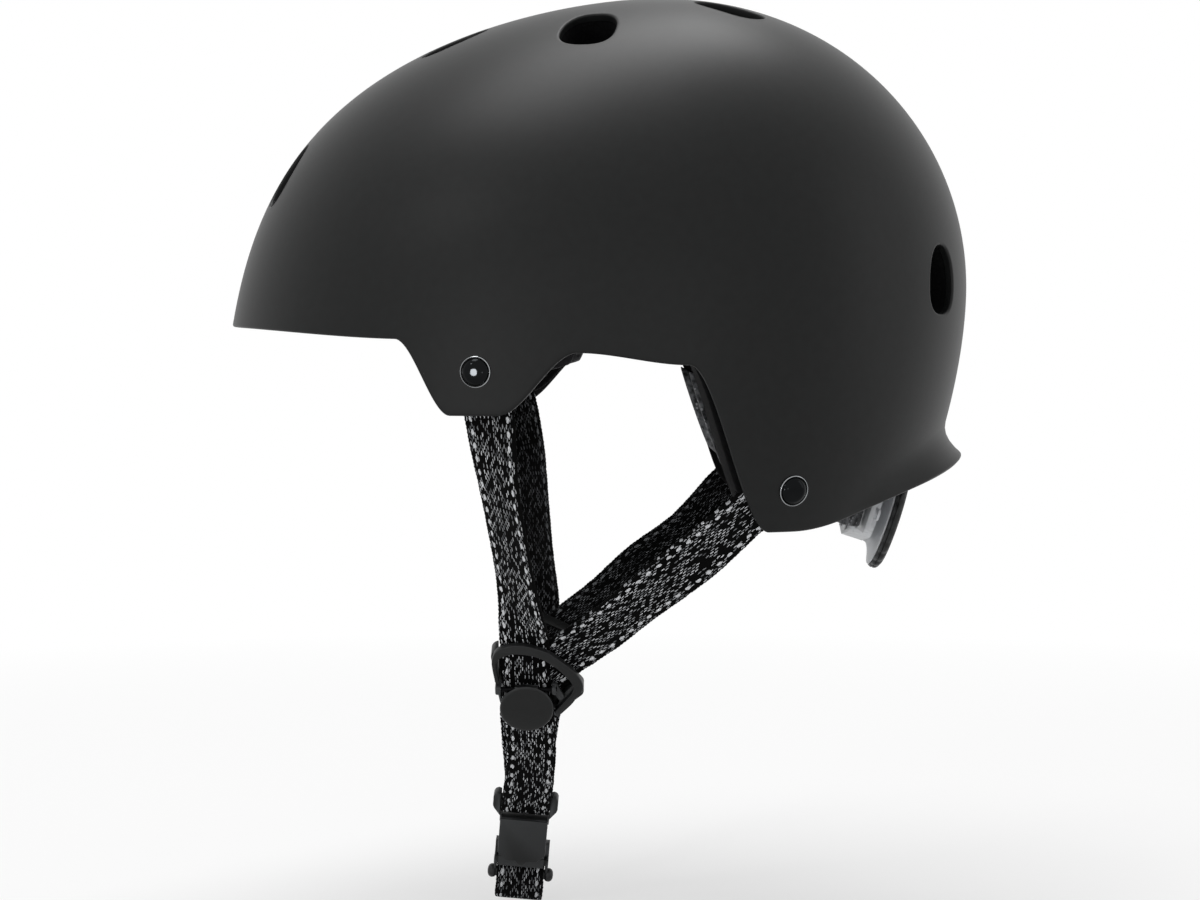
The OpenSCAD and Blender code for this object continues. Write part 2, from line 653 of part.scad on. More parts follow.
// Round lever with its hinge barrel and the ridges that grip the webbing
module divider_lever() {
  low = lever_pin_n - 0.9;
  color(plastic_black)
    at_divider()
      difference() {
        union() {
          translate([0, 0, low]) cylinder(r = lever_r, h = lever_t - 0.5);
          translate([0, 0, low + lever_t - 0.5]) cylinder(r1 = lever_r, r2 = lever_r - 0.5, h = 0.5);
          translate([-ear_x + 0.3, lever_pin_y, lever_pin_n]) rotate([0, 90, 0])
            cylinder(r = barrel_r, h = 2 * ear_x - 0.6);
          for (i = [0 : 3])
            translate([-6, 5.4 - i * 1.5, low + 0.2]) rotate([0, 90, 0])
              rotate(45) cube([1.1, 1.1, 12]);
          translate([-6, 0.2, arch_low]) cube([12, 6.2, low - arch_low + 0.2]);
        }
        translate([0, lever_pin_y, lever_pin_n]) rotate([0, 90, 0])
          cylinder(r = lever_pin_r + shaft_gap, h = 60, center = true);
      }
}
module divider_pin() {
  color(metal)
    at_divider() translate([-ear_x - 1.8, lever_pin_y, lever_pin_n]) rotate([0, 90, 0])
      cylinder(r = lever_pin_r, h = 2 * ear_x + 3.6);
}
module left_divider_frame() { divider_frame(); }
module left_divider_lever() { divider_lever(); }
module left_divider_pin() { divider_pin(); }
module right_divider_frame() { mirror([0, 1, 0]) divider_frame(); }
module right_divider_lever() { mirror([0, 1, 0]) divider_lever(); }
module right_divider_pin() { mirror([0, 1, 0]) divider_pin(); }

// Buckle. The two halves hook behind each other along the whole width, and the lower one
// slides out to the side; their magnets face each other across the joint.
half_cover = cover_w / 2;
ear_h = 7;
ear_t = 5.4;
ear_round = 1.2;
block_back = -4.5;
cover_back = 3.9;
upper_floor = 2;
hook_top = -4.4;
hook_low = -7;
shoulder_x = buckle_w / 2 - 1.2;
module bar_frame(y, low, high) {
  inside = web_w / 2 + 0.5;
  // Ears on both ends of the bar
  for (s = [-1, 1])
    hull() {
      for (e = [-1, 1])
        translate([s * (buckle_w / 2 - ear_round), y + e * (ear_h / 2 - ear_round), -ear_t / 2])
          cylinder(r = ear_round, h = ear_t, $fn = 24);
      translate([s * (inside + 0.6) - 0.6, min(low, high), 0.4 - ear_t / 2])
        cube([1.2, abs(high - low), ear_t - 0.8]);
    }
  translate([-buckle_w / 2 + 1.5, y, 0]) rotate([0, 90, 0]) cylinder(r = bar_r, h = buckle_w - 3);
}
module buckle_upper() {
  w = half_cover - 0.4;
  color(plastic_black)
    at_buckle()
      difference() {
        union() {
          bar_frame(top_bar_y, 8, top_bar_y + 2);
          // Shoulder that carries the ears
          translate([-shoulder_x, 6.4, 0.4 - ear_t / 2]) cube([2 * shoulder_x, 2.2, ear_t - 0.8]);
          // Block, tongue and hook, one profile along the width
          translate([-w, 0, 0]) rotate([90, 0, 90]) linear_extrude(2 * w)
            polygon([[8.6, block_back + 0.8], [7.8, block_back], [upper_floor, block_back],
                     [upper_floor, 1.6], [hook_top, 1.6], [hook_top, -0.6], [hook_low, -0.6],
                     [hook_low, cover_back - 0.1], [8.6, cover_back - 0.1]]);
        }
        for (x = [-4.5, 4.5])
          translate([x, upper_floor - 0.1, -2.7]) rotate([-90, 0, 0])
            cylinder(r = magnet_r + 0.02, h = magnet_l + 0.15);
      }
}
module buckle_cover() {
  color(plastic_black)
    at_buckle() translate([0, 0, cover_back])
      linear_extrude(cover_t)
        polygon([[-half_cover, 8.9], [-half_cover, 11.9 - cover_h], [3 - half_cover, 8.9 - cover_h],
                 [-2.2, 8.9 - cover_h], [-0.7, 7.2 - cover_h], [0.7, 7.2 - cover_h],
                 [2.2, 8.9 - cover_h], [half_cover - 3, 8.9 - cover_h],
                 [half_cover, 11.9 - cover_h], [half_cover, 8.9]]);
}
module upper_magnets() {
  color(metal)
    at_buckle() for (x = [-4.5, 4.5])
      translate([x, upper_floor + 0.05, -2.7]) rotate([-90, 0, 0]) cylinder(r = magnet_r, h = magnet_l);
}
module buckle_lower() {
  w = half_cover - 0.4;
  g = buckle_gap;
  color(plastic_black)
    at_buckle()
      difference() {
        union() {
          bar_frame(low_bar_y, -10, low_bar_y - 2);
          // Shoulder that carries the ears
          translate([-shoulder_x, -10.7, 0.4 - ear_t / 2]) cube([2 * shoulder_x, 2.3, ear_t - 0.8]);
          translate([-w, 0, 0]) rotate([90, 0, 90]) linear_extrude(2 * w)
            polygon([[upper_floor - g, block_back], [upper_floor - g, -0.6 - g],
                     [-1.9, -0.6 - g], [-1.9, 1.6 - g], [hook_top + g, 1.6 - g],
                     [hook_top + g, -0.6 - g], [hook_low - g, -0.6 - g], [hook_low - g, 3.6],
                     [-11, 3.6], [-11, block_back + 1.2], [-9.8, block_back]]);
          // Arms beside the joint, behind the cover plate
          for (x = [-w - 1.6, w])
            translate([x, -10.7, block_back]) cube([1.6, 7.3, 3.6]);
        }
        for (x = [-4.5, 4.5])
          translate([x, upper_floor - g + 0.1, -2.7]) rotate([90, 0, 0])
            cylinder(r = magnet_r + 0.02, h = magnet_l + 0.15);
      }
}
module lower_magnets() {
  color(metal)
    at_buckle() for (x = [-4.5, 4.5])
      translate([x, upper_floor - buckle_gap - 0.05, -2.7]) rotate([90, 0, 0])
        cylinder(r = magnet_r, h = magnet_l);
}

// Fit system. Its frame has +Z out along the dial's axis and +X down.
dial_at = [107.5, 0, -70];
dial_droop = 18;
module at_dial() {
  translate(dial_at) rotate([0, 90 + dial_droop, 0]) children();
}
// Point of the dial's own frame, down, across and out, in the part's frame
function dial_point(x, y, z) =
  dial_at + [z * cos(dial_droop) - x * sin(dial_droop), y, -z * sin(dial_droop) - x * cos(dial_droop)];
cap_back = -dial_cap_t / 2;
dish_back = cap_back - dial_dish_t;
wall_t = 2.4;
front_face = dish_back - 0.5;
cavity_front = front_face - wall_t;
cavity_back = cavity_front - 2 * strip_t - 0.7;
cover_plate_t = 1.6;
pitch_r = tooth_m * pinion_teeth / 2;
module dial_cap() {
  color(plastic_black)
    at_dial()
      difference() {
        union() {
          translate([0, 0, cap_back]) cylinder(r = dial_r, h = dial_cap_t - 1, $fn = 72);
          translate([0, 0, dial_cap_t / 2 - 1]) cylinder(r1 = dial_r, r2 = dial_r - 1.6, h = 1, $fn = 72);
        }
        for (k = [0 : 23])
          rotate(k * 15) translate([dial_r + 1.2, 0, 0]) cylinder(r = 1.8, h = 20, center = true, $fn = 24);
        translate([0, 0, cap_back - 1]) cylinder(r = 6, h = 2.2);
      }
}
module dial_dish() {
  color(plastic_grey)
    at_dial()
      difference() {
        union() {
          translate([0, 0, dish_back + 1.6])
            cylinder(r1 = dial_r - 4.6, r2 = dial_r - 1.2, h = dial_dish_t - 1.6 - 0.05, $fn = 72);
          translate([0, 0, dish_back]) cylinder(r = dial_r - 4.6, h = 1.6, $fn = 72);
        }
        translate([0, 0, dish_back - 1]) cylinder(r = pinion_shaft_r + 0.02, h = dial_dish_t - 0.6);
        translate([0, 0, dish_back]) cylinder(r = 1.3, h = 20);
        for (k = [0 : 5])
          rotate(k * 60 + 30) translate([10.4, 0, dish_back - 1]) cylinder(r = 3.2, h = dial_dish_t - 0.4);
      }
}
module dial_screw() {
  color(metal)
    at_dial() {
      translate([0, 0, cap_back + 0.02]) cylinder(r = 2.8, h = 1);
      translate([0, 0, cap_back - 7]) cylinder(r = 1.2, h = 7.1);
    }
}

// Flank of an involute tooth
pressure = 22;
base_r = pitch_r * cos(pressure);
tip_r = pitch_r + 0.85 * tooth_m;
foot_r = pitch_r - 1.15 * tooth_m;
function involute(r) = let (q = sqrt(max(0, r * r / (base_r * base_r) - 1))) q * 180 / PI - atan(q);
backlash = 0.12;
half_tooth = 90 / pinion_teeth - backlash / pitch_r * 90 / PI;
function flank(r) = half_tooth + involute(pitch_r) - involute(max(r, base_r));
module pinion_profile() {
  radii = [foot_r, base_r, mix(base_r, tip_r, 0.35), mix(base_r, tip_r, 0.7), tip_r];
  polygon([for (k = [0 : pinion_teeth - 1]) let (mid = (k + 0.5) * 360 / pinion_teeth)
    each concat([for (i = [0 : 4]) let (a = mid - flank(radii[i])) radii[i] * [cos(a), sin(a)]],
                [for (i = [4 : -1 : 0]) let (a = mid + flank(radii[i])) radii[i] * [cos(a), sin(a)]])]);
}
module pinion() {
  color(plastic_grey)
    at_dial()
      difference() {
        union() {
          translate([0, 0, cavity_back + 0.1]) linear_extrude(cavity_front - cavity_back - 0.2)
            pinion_profile();
          translate([0, 0, cavity_front - 0.11]) cylinder(r = pinion_shaft_r, h = cap_back - cavity_front - 1.6);
          translate([0, 0, cavity_back - cover_plate_t + 0.3]) cylinder(r = 1.8, h = cover_plate_t);
        }
        translate([0, 0, cap_back - 7.1]) cylinder(r = 1.22, h = 20);
      }
}

housing_half_h = strip_h / 2 + 2.6;
housing_screws = [for (x = [-1, 1], y = [-1, 1]) [x * (housing_half_h - 1.4), y * 10]];
module housing_outline() {
  hull() {
    circle(r = housing_half_h + 2.4);
    for (y = [-1, 1]) translate([0, y * (housing_w / 2 - 7)])
      hull() for (x = [-1, 1]) translate([x * (housing_half_h - 7.2), 0]) circle(r = 7);
  }
}
// Stem that carries the housing on the liner
stem_t = 2.2;
stem_w = 15;
stem_top_z = -19;
stem_pin_r = 1.6;
stem_pin_l = 9;
stem_pin_y = 4;
stem_pin_z = -27;
stem_x = liner_point(180, stem_pin_z, 0)[0] - 0.6;
module stem() {
  low = dial_point(-strip_h / 2 - 4.4, 0, (front_face + cavity_back) / 2);
  difference() {
    translate([0, stem_w / 2, 0]) rotate([90, 0, 0]) linear_extrude(stem_w)
      polygon([[stem_x, stem_top_z], [stem_x, -40], [stem_x + 0.2, -47], [low[0] + 2, low[2] + 3],
               [low[0] + 2.2, low[2]], [low[0] - 1.6, low[2]], [low[0] - 1.4, low[2] + 4],
               [stem_x - stem_t, -46], [stem_x - stem_t, -40], [stem_x - stem_t, stem_top_z]]);
    for (y = [-1, 1])
      translate([stem_x - 20, y * stem_pin_y, stem_pin_z]) rotate([0, 90, 0])
        cylinder(r = stem_pin_r + 0.02, h = 40);
  }
}
module stem_pins() {
  color(plastic_black)
    for (y = [-1, 1])
      translate([stem_x - stem_t, y * stem_pin_y, stem_pin_z]) rotate([0, 90, 0]) {
        translate([0, 0, -1.2]) cylinder(r = 3, h = 1.2);
        translate([0, 0, -0.1]) cylinder(r = stem_pin_r, h = stem_t + stem_pin_l);
      }
}
module fit_housing() {
  color(plastic_grey) {
    stem();
    at_dial()
      difference() {
        translate([0, 0, cavity_back]) linear_extrude(front_face - cavity_back) housing_outline();
        translate([-strip_h / 2 - 0.25, -50, cavity_back - 1])
          cube([strip_h + 0.5, 100, cavity_front - cavity_back + 1]);
        cylinder(r = pinion_shaft_r + shaft_gap, h = 100, center = true);
        for (p = housing_screws)
          translate([p[0], p[1], cavity_back - 1]) cylinder(r = 0.8, h = 5);
      }
  }
}
module housing_cover() {
  color(plastic_grey)
    at_dial()
      difference() {
        translate([0, 0, cavity_back - cover_plate_t]) linear_extrude(cover_plate_t) housing_outline();
        translate([0, 0, cavity_back - 10]) cylinder(r = 1.8 + shaft_gap, h = 20);
        for (p = housing_screws)
          translate([p[0], p[1], cavity_back - 10]) cylinder(r = 0.9, h = 20);
      }
}
module cover_screws() {
  color(metal)
    at_dial()
      for (p = housing_screws) {
        translate([p[0], p[1], cavity_back - cover_plate_t - 0.8]) cylinder(r = 1.5, h = 0.8);
        translate([p[0], p[1], cavity_back - cover_plate_t - 0.1]) cylinder(r = 0.78, h = 5);
      }
}

// Toothed strip: the teeth stand on the upper edge of its slot
strip_out = 55;
left_strip_z = cavity_back + 0.2;
right_strip_z = left_strip_z + strip_t + 0.2;
rack_pitch = PI * tooth_m;
slot_top = pitch_r + 1.15 * tooth_m + 0.1;
slot_low = tip_r + 0.4;
slot_in = tip_r + 0.8;
module rack_profile() {
  root = slot_top;
  tip = pitch_r - 0.7 * tooth_m;
  slope = tan(pressure);
  half = rack_pitch / 4 - backlash / 2;
  // Slot with teeth left standing from its upper edge
  difference() {
    translate([-slot_top, -fit_travel - slot_in]) square([slot_top + slot_low, fit_travel + 2 * slot_in]);
    for (k = [-ceil((fit_travel + slot_in) / rack_pitch) : ceil(slot_in / rack_pitch)])
      polygon([[-root - 0.1, k * rack_pitch - half - slope * (root - pitch_r)],
               [-tip, k * rack_pitch - half + slope * (pitch_r - tip)],
               [-tip, k * rack_pitch + half - slope * (pitch_r - tip)],
               [-root - 0.1, k * rack_pitch + half + slope * (root - pitch_r)]]);
  }
}
module strip_profile() {
  difference() {
    union() {
      translate([-strip_h / 2, -30]) square([strip_h, 30 + slot_in + 3]);
      hull() {
        translate([-strip_h / 2, -31]) square([strip_h, 1]);
        for (x = [-1, 1]) translate([x * (strip_h / 2 - 3), -strip_out + 3]) circle(r = 3);
      }
    }
    rack_profile();
  }
}
// Two snap knobs on the outer end, on the side away from the head
module knobs() {
  for (y = [-strip_out + 4.5, -strip_out + 10.5]) {
    translate([0, y, 0]) cylinder(r = 1.8, h = 2.4);
    translate([0, y, 1.5]) cylinder(r1 = 2.4, r2 = 1.9, h = 0.9);
  }
}
module left_toothed_strip() {
  color(plastic_grey)
    at_dial() translate([0, 0, left_strip_z]) {
      linear_extrude(strip_t) strip_profile();
      translate([0, 0, strip_t - 0.1]) knobs();
    }
}
module right_toothed_strip() {
  color(plastic_grey)
    at_dial() translate([0, 0, right_strip_z]) rotate(180) {
      linear_extrude(strip_t) strip_profile();
      translate([0, 0, strip_t - 0.1]) knobs();
    }
}

// How far the liner's flat facets reach inwards of its true curve
facet_room = 0.45;
// Soft pad between a back and a front face, both given as grids of points
module quilt(back, front) {
  m = len(back);
  n = len(back[0]);
  k = m * n;
  border = concat([for (j = [0 : n - 2]) j], [for (i = [0 : m - 2]) i * n + n - 1],
                  [for (j = [n - 1 : -1 : 1]) (m - 1) * n + j], [for (i = [m - 1 : -1 : 1]) i * n]);
  faces = concat(
    [for (i = [0 : m - 2]) for (j = [0 : n - 2])
       let (a = i * n + j) each [[a, a + n, a + n + 1], [a, a + n + 1, a + 1]]],
    [for (i = [0 : m - 2]) for (j = [0 : n - 2])
       let (a = i * n + j + k) each [[a, a + n + 1, a + n], [a, a + 1, a + n + 1]]],
    [for (i = [0 : len(border) - 1])
       let (a = border[i], b = border[(i + 1) % len(border)])
       each [[a, b, b + k], [a, b + k, a + k]]]);
  polyhedron(concat([for (r = back) each r], [for (r = front) each r]), faces, convexity = 8);
}
// Share of a pad's thickness at s, t from -1 to 1: full in the middle, drawn in at the edges
function puff(s, t) = 0.22 + 0.78 * pow(max(0, (1 - pow(abs(s), 5)) * (1 - pow(abs(t), 4))), 0.5);
// Sewn channels across a pad at given places along s
function sewn(s, seams) = 1 - 0.42 * max(concat([0], [for (q = seams) exp(-pow((s - q) / 0.07, 2))]));
function corner(s, t) = s * sqrt(1 - 0.3 * t * t);
// Pad on a patch of the liner: middle bearing and half span, middle height and half height
module liner_pad(bearing, span, z, half_z, seams, m, n) {
  grid = function (deep)
    [for (i = [0 : m]) let (s = 2 * i / m - 1) [for (j = [0 : n]) let (t = 2 * j / n - 1)
      liner_point(bearing + span * corner(s, t), z + half_z * corner(t, s),
                  pad_gap + facet_room + (deep ? pad_t * puff(s, t) * sewn(s, seams) : 0))]];
  color(pad_grey) quilt(grid(false), grid(true));
}
module brow_pad() { liner_pad(0, 46, 20, 15, [-0.5, 0, 0.5], 24, 8); }
module left_temple_pad() { liner_pad(71, 9.5, 2, 21, [], 8, 10); }
module right_temple_pad() { liner_pad(-71, 9.5, 2, 21, [], 8, 10); }

// Height of the shell over a place in plan, and the outward direction there
function height_at(x, y, low = -20, high = crown_h, left = 16) =
  left == 0 ? (low + high) / 2
            : let (z = (low + high) / 2, a = x < crown_x ? front_a(z) : rear_a(z),
                   full = pow(abs(x - crown_x) / max(a, 0.01), plan_power)
                        + pow(abs(y) / max(half_w(z), 0.01), plan_power))
              full > 1 ? height_at(x, y, low, z, left - 1) : height_at(x, y, z, high, left - 1);
function under_crown(x, y, depth) =
  let (d = 3, h = [for (q = [[d, 0], [-d, 0], [0, d], [0, -d], [0, 0]]) height_at(x + q[0], y + q[1])],
       out = unit([h[1] - h[0], h[3] - h[2], 2 * d]))
  [x, y, h[4]] - out * (shell_t + bond_gap + liner_t([x, y, h[4]]) + depth);
crown_pad_l = 104;
crown_pad_w = 66;
module crown_pad() {
  m = 14;
  n = 12;
  grid = function (deep)
    [for (i = [0 : m]) let (s = 2 * i / m - 1) [for (j = [0 : n]) let (t = 2 * j / n - 1)
      under_crown(crown_x + crown_pad_l / 2 * corner(s, t), crown_pad_w / 2 * corner(t, s),
                  pad_gap + facet_room + (deep ? pad_t * puff(s, t) * sewn(s, [0]) * sewn(t, [0]) : 0))]];
  color(pad_grey) quilt(grid(false), grid(true));
}

// Padded arm behind each ear, from the toothed strip's end to the edge of the ear cut
arm_depth = pad_gap + 1.3 * facet_room;
function arm_tops(back) =
  [dial_point(-6, -36, back), dial_point(-6.6, -46, back - 1.4), [84.5, -57.5, -53],
   liner_side(73, -45, arm_depth), liner_side(58.5, -34, arm_depth),
   liner_side(44, -23, arm_depth), liner_side(31.5, -14.5, arm_depth)];
function arm_lows(back) =
  [dial_point(6, -36, back), dial_point(7, -46, back - 1.4), [82, -58.5, -68.5],
   liner_side(69, -62, arm_depth), liner_side(60, -60.5, arm_depth),
   liner_side(53.5, -57.5, arm_depth), liner_side(47, -54, arm_depth)];
// The arm's middle stands off the liner, which swells between its edges
arm_bow = 1.5;
module arm_pad(back) {
  tops = curve(arm_tops(back), 3);
  lows = curve(arm_lows(back), 3);
  m = len(tops) - 1;
  n = 8;
  mid = [for (i = [0 : m]) (tops[i] + lows[i]) / 2];
  inward = [for (i = [0 : m])
    unit(cross(mid[min(i + 1, m)] - mid[max(i - 1, 0)], tops[i] - lows[i]))];
  grid = function (deep)
    [for (i = [0 : m]) let (s = 2 * i / m - 1) [for (j = [0 : n]) let (t = 2 * j / n - 1)
      mix(lows[i], tops[i], (corner(t, s) + 1) / 2)
      + inward[i] * (arm_bow * ramp(3, 9, i) * (1 - t * t)
                     + (deep ? arm_pad_t * puff(s, t) * sewn(s, [-0.35, 0.25]) : 0))]];
  color(pad_grey) quilt(grid(true), grid(false));
}
module left_arm_pad() { arm_pad(left_strip_z - 0.6); }
module right_arm_pad() { mirror([0, 1, 0]) arm_pad(right_strip_z - 0.6); }

outer_shell();
foam_liner();
shell_rivets();
rivet_washers();
left_strap();
right_front_strap();
right_rear_strap();
left_divider_frame();
left_divider_lever();
left_divider_pin();
right_divider_frame();
right_divider_lever();
right_divider_pin();
buckle_upper();
buckle_cover();
upper_magnets();
buckle_lower();
lower_magnets();
buckle_loop();
dial_cap();
dial_dish();
dial_screw();
pinion();
fit_housing();
housing_cover();
cover_screws();
left_toothed_strip();
right_toothed_strip();
crown_pad();
brow_pad();
left_temple_pad();
right_temple_pad();
left_arm_pad();
right_arm_pad();
stem_pins();
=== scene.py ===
"""Looks of a skate-style bicycle helmet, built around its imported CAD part.

The part's frame is kept: front towards -X, wearer's left side towards -Y, metres. Lengths in the
classes are millimetres, as in the part's source, and become metres where a mesh is made.
"""

from __future__ import annotations

import sys

import json
import logging
import math
from dataclasses import dataclass
from enum import Enum
from typing import Callable, Sequence

import bmesh
import bpy
import numpy as np
from mathutils import Matrix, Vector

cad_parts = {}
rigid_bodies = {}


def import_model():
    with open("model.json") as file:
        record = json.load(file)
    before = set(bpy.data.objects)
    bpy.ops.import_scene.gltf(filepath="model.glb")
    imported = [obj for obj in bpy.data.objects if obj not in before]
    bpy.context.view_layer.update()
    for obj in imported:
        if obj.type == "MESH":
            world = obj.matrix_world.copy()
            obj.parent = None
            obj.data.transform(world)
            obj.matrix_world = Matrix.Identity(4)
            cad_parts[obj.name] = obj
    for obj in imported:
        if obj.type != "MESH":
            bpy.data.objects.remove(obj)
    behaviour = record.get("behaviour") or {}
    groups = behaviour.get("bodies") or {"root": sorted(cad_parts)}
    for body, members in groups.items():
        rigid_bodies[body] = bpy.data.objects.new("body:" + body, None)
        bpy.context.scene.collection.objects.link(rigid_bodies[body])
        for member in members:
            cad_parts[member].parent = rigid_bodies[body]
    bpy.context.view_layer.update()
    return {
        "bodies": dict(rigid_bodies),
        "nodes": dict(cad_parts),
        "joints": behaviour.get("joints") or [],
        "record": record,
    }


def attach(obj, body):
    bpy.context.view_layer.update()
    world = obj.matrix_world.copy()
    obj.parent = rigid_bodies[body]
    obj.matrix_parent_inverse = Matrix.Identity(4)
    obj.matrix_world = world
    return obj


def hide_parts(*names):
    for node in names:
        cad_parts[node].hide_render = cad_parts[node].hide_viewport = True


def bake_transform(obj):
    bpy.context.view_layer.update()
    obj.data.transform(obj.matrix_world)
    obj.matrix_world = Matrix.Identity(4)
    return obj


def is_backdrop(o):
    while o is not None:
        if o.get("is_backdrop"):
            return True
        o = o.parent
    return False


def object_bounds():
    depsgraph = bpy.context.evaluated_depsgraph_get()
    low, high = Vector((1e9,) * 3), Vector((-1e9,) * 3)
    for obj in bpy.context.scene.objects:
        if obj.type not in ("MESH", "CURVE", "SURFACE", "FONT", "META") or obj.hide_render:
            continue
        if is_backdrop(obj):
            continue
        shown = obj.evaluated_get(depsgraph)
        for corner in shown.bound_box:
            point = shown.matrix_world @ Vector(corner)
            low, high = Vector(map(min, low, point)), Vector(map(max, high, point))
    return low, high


LOG = logging.getLogger("helmet")
MM = 0.001
Array = np.ndarray
Piece = bpy.types.Object
Material = bpy.types.Material
Socket = bpy.types.NodeSocket
Place = Callable[[float, float, float], Array]
Two = tuple[float, float]
Three = tuple[float, float, float]
Outline = Sequence[Two]


class Side(Enum):
    """Side of the wearer; the value is the sign of Y there."""

    LEFT = -1
    RIGHT = 1


# Places and sizes that several pieces share

FRONT_RIVET = (-40.0, -16.2)
REAR_RIVET = (66.0, -56.0)
WEB_W = 17.5
WEB_T = 1.5
# Added to U on the inner face, a whole number of widths so that the pattern stays
INNER_SHIFT = 60 * WEB_W
STRAP_DEPTH = 2.5 + 0.8 + WEB_T / 2
LAY = WEB_T / 2 + 0.15
DIVIDER_AT = np.array([-25.0, -46.0, -132.4])
DIVIDER_LEAN = math.radians(28)
DIVIDER_FACE = np.array([0, -math.cos(DIVIDER_LEAN), -math.sin(DIVIDER_LEAN)])
BUCKLE_AT = np.array([-28.0, -10.0, -187.1])
BUCKLE_LEAN = math.radians(5)
BUCKLE_TILT = math.radians(18)
LOW_BAR_Y = -15.4
DIAL_AT = np.array([107.5, 0.0, -70.0])
DIAL_DROOP = math.radians(18)
STRIP_BACK = -2.0 - 4.6 - 0.5 - 2.4 - 2 * 1.6 - 0.7 + 0.2


def divider_point(u: float, v: float, n: float) -> Array:
    """Point of the left divider's own frame in the part's frame."""
    c, s = math.cos(DIVIDER_LEAN), math.sin(DIVIDER_LEAN)
    return DIVIDER_AT + [u, -v * s - n * c, v * c - n * s]


def buckle_point(x: float, y: float, n: float) -> Array:
    """Point of the buckle's own frame in the part's frame."""
    up = y * math.cos(BUCKLE_TILT) - n * math.sin(BUCKLE_TILT)
    out = y * math.sin(BUCKLE_TILT) + n * math.cos(BUCKLE_TILT)
    c, s = math.cos(BUCKLE_LEAN), math.sin(BUCKLE_LEAN)
    return BUCKLE_AT + [x * c + up * s, -out, up * c - x * s]


def dial_point(x: float, y: float, z: float) -> Array:
    """Point of the dial's own frame, down, across and out, in the part's frame."""
    c, s = math.cos(DIAL_DROOP), math.sin(DIAL_DROOP)
    return DIAL_AT + [z * c - x * s, y, -z * s - x * c]


# Colours and nodes


def linear(code: str) -> tuple[float, float, float, float]:
    """Turns an sRGB colour code into linear red, green and blue, and an alpha of one."""
    parts = [int(code[i : i + 2], 16) / 255 for i in (1, 3, 5)]
    low = [c / 12.92 if c <= 0.04045 else ((c + 0.055) / 1.055) ** 2.4 for c in parts]
    return (low[0], low[1], low[2], 1.0)


@dataclass
class Graph:
    """A node tree, with one way of adding a node to it."""

    tree: bpy.types.NodeTree

    def feed(self, node: bpy.types.Node, values: dict) -> None:
        """Sets or links a node's inputs by name or number; None leaves one as it is."""
        for name, value in values.items():
            if isinstance(value, Socket):
                self.tree.links.new(value, node.inputs[name])
            elif value is not None:
                node.inputs[name].default_value = value

    def add(
        self, kind: str, *inputs: object, named: dict | None = None, out: int | str = 0,
        stops: Sequence[tuple[float, str]] = (), **settings: object,
    ) -> Socket | None:
        """Adds a node with its settings and links.

        Args:
            kind: Type name, a shader node's without ShaderNode; after a colon, the operation.
            inputs: Number, socket or None for each input in order.
            named: The same by input name or number.
            out: Output to return.
            stops: Place and colour code of each stop of a ramp.
            settings: Properties of the node.

        Returns:
            The output, or None for a node without one.
        """
        name, _, operation = kind.partition(":")
        node = self.tree.nodes.new(name if "Node" in name else f"ShaderNode{name}")
        if operation:
            node.operation = operation
        for key, value in settings.items():
            setattr(node, key, value)
        self.feed(node, {**dict(enumerate(inputs)), **(named or {})})
        if stops:
            elements = node.color_ramp.elements
            while len(elements) < len(stops):
                elements.new(0.5)
            for element, (place, code) in zip(elements, stops):
                element.position = place
                element.color = linear(code)
        return node.outputs[out] if node.outputs else None

    def rays(self) -> Socket:
        """One for rays that see the surroundings: camera, mirrored and transmitted ones."""
        path = self.add("LightPath").node.outputs
        seen = self.add("Math:MAXIMUM", path["Is Camera Ray"], path["Is Glossy Ray"])
        return self.add("Math:MAXIMUM", seen, path["Is Transmission Ray"])


@dataclass(frozen=True)
class Finish:
    """A surface with two tones, a gloss and a fine relief; the kinds below add their own pattern."""

    name: str
    dark: str
    light: str
    roughness: float
    grain: float = 600.0
    relief: float = 0.02

    def material(self) -> Material:
        """Builds the material and returns it."""
        made = bpy.data.materials.new(self.name)
        made.use_nodes = True
        graph = Graph(made.node_tree)
        look = self.dress(graph, graph.add("TexCoord", out="Object"))
        height, strength = look.pop("Relief")
        relief = {"Height": height, "Strength": strength, "Distance": self.relief * MM}
        look["Normal"] = graph.add("Bump", named=relief)
        graph.feed(made.node_tree.nodes["Principled BSDF"], {"Roughness": self.roughness, **look})
        made.diffuse_color = linear(self.dark)
        return made

    def gloss(self, swing: float) -> Two:
        """Lowest and highest roughness for a swing to either side."""
        return self.roughness - swing, self.roughness + swing

    def dress(self, graph: Graph, where: Socket) -> dict[str, object]:
        """Lays out the pattern.

        Args:
            graph: The material's nodes.
            where: Coordinates on the piece.

        Returns:
            What goes to the shader, by input name, and the relief's height and strength.
        """
        cloud = graph.add("TexNoise", named={"Vector": where, "Scale": self.grain / 8, "Detail": 3})
        fine = graph.add("TexNoise", named={"Vector": where, "Scale": self.grain, "Detail": 5})
        return {
            "Base Color": graph.add("ValToRGB", cloud, stops=[(0.3, self.dark), (0.7, self.light)]),
            "Roughness": graph.add("MapRange", fine, None, None, *self.gloss(0.04)),
            "Relief": (fine, 1.0),
        }


@dataclass(frozen=True)
class SprayedShell(Finish):
    """Matt lacquer sprayed on injection-moulded ABS: a broad dim sheen over a very fine peel."""

    sheen_level: float = 0.2

    def dress(self, graph: Graph, where: Socket) -> dict[str, object]:
        """Slow cloudiness and a fine peel."""
        return super().dress(graph, where) | {"Specular IOR Level": self.sheen_level}


@dataclass(frozen=True)
class Plated(Finish):
    """Plated metal with fine rubbing marks, which keep its mirror from looking drawn."""

    def dress(self, graph: Graph, where: Socket) -> dict[str, object]:
        """Faint clouding and rubbing marks."""
        return super().dress(graph, where) | {"Metallic": 1.0}


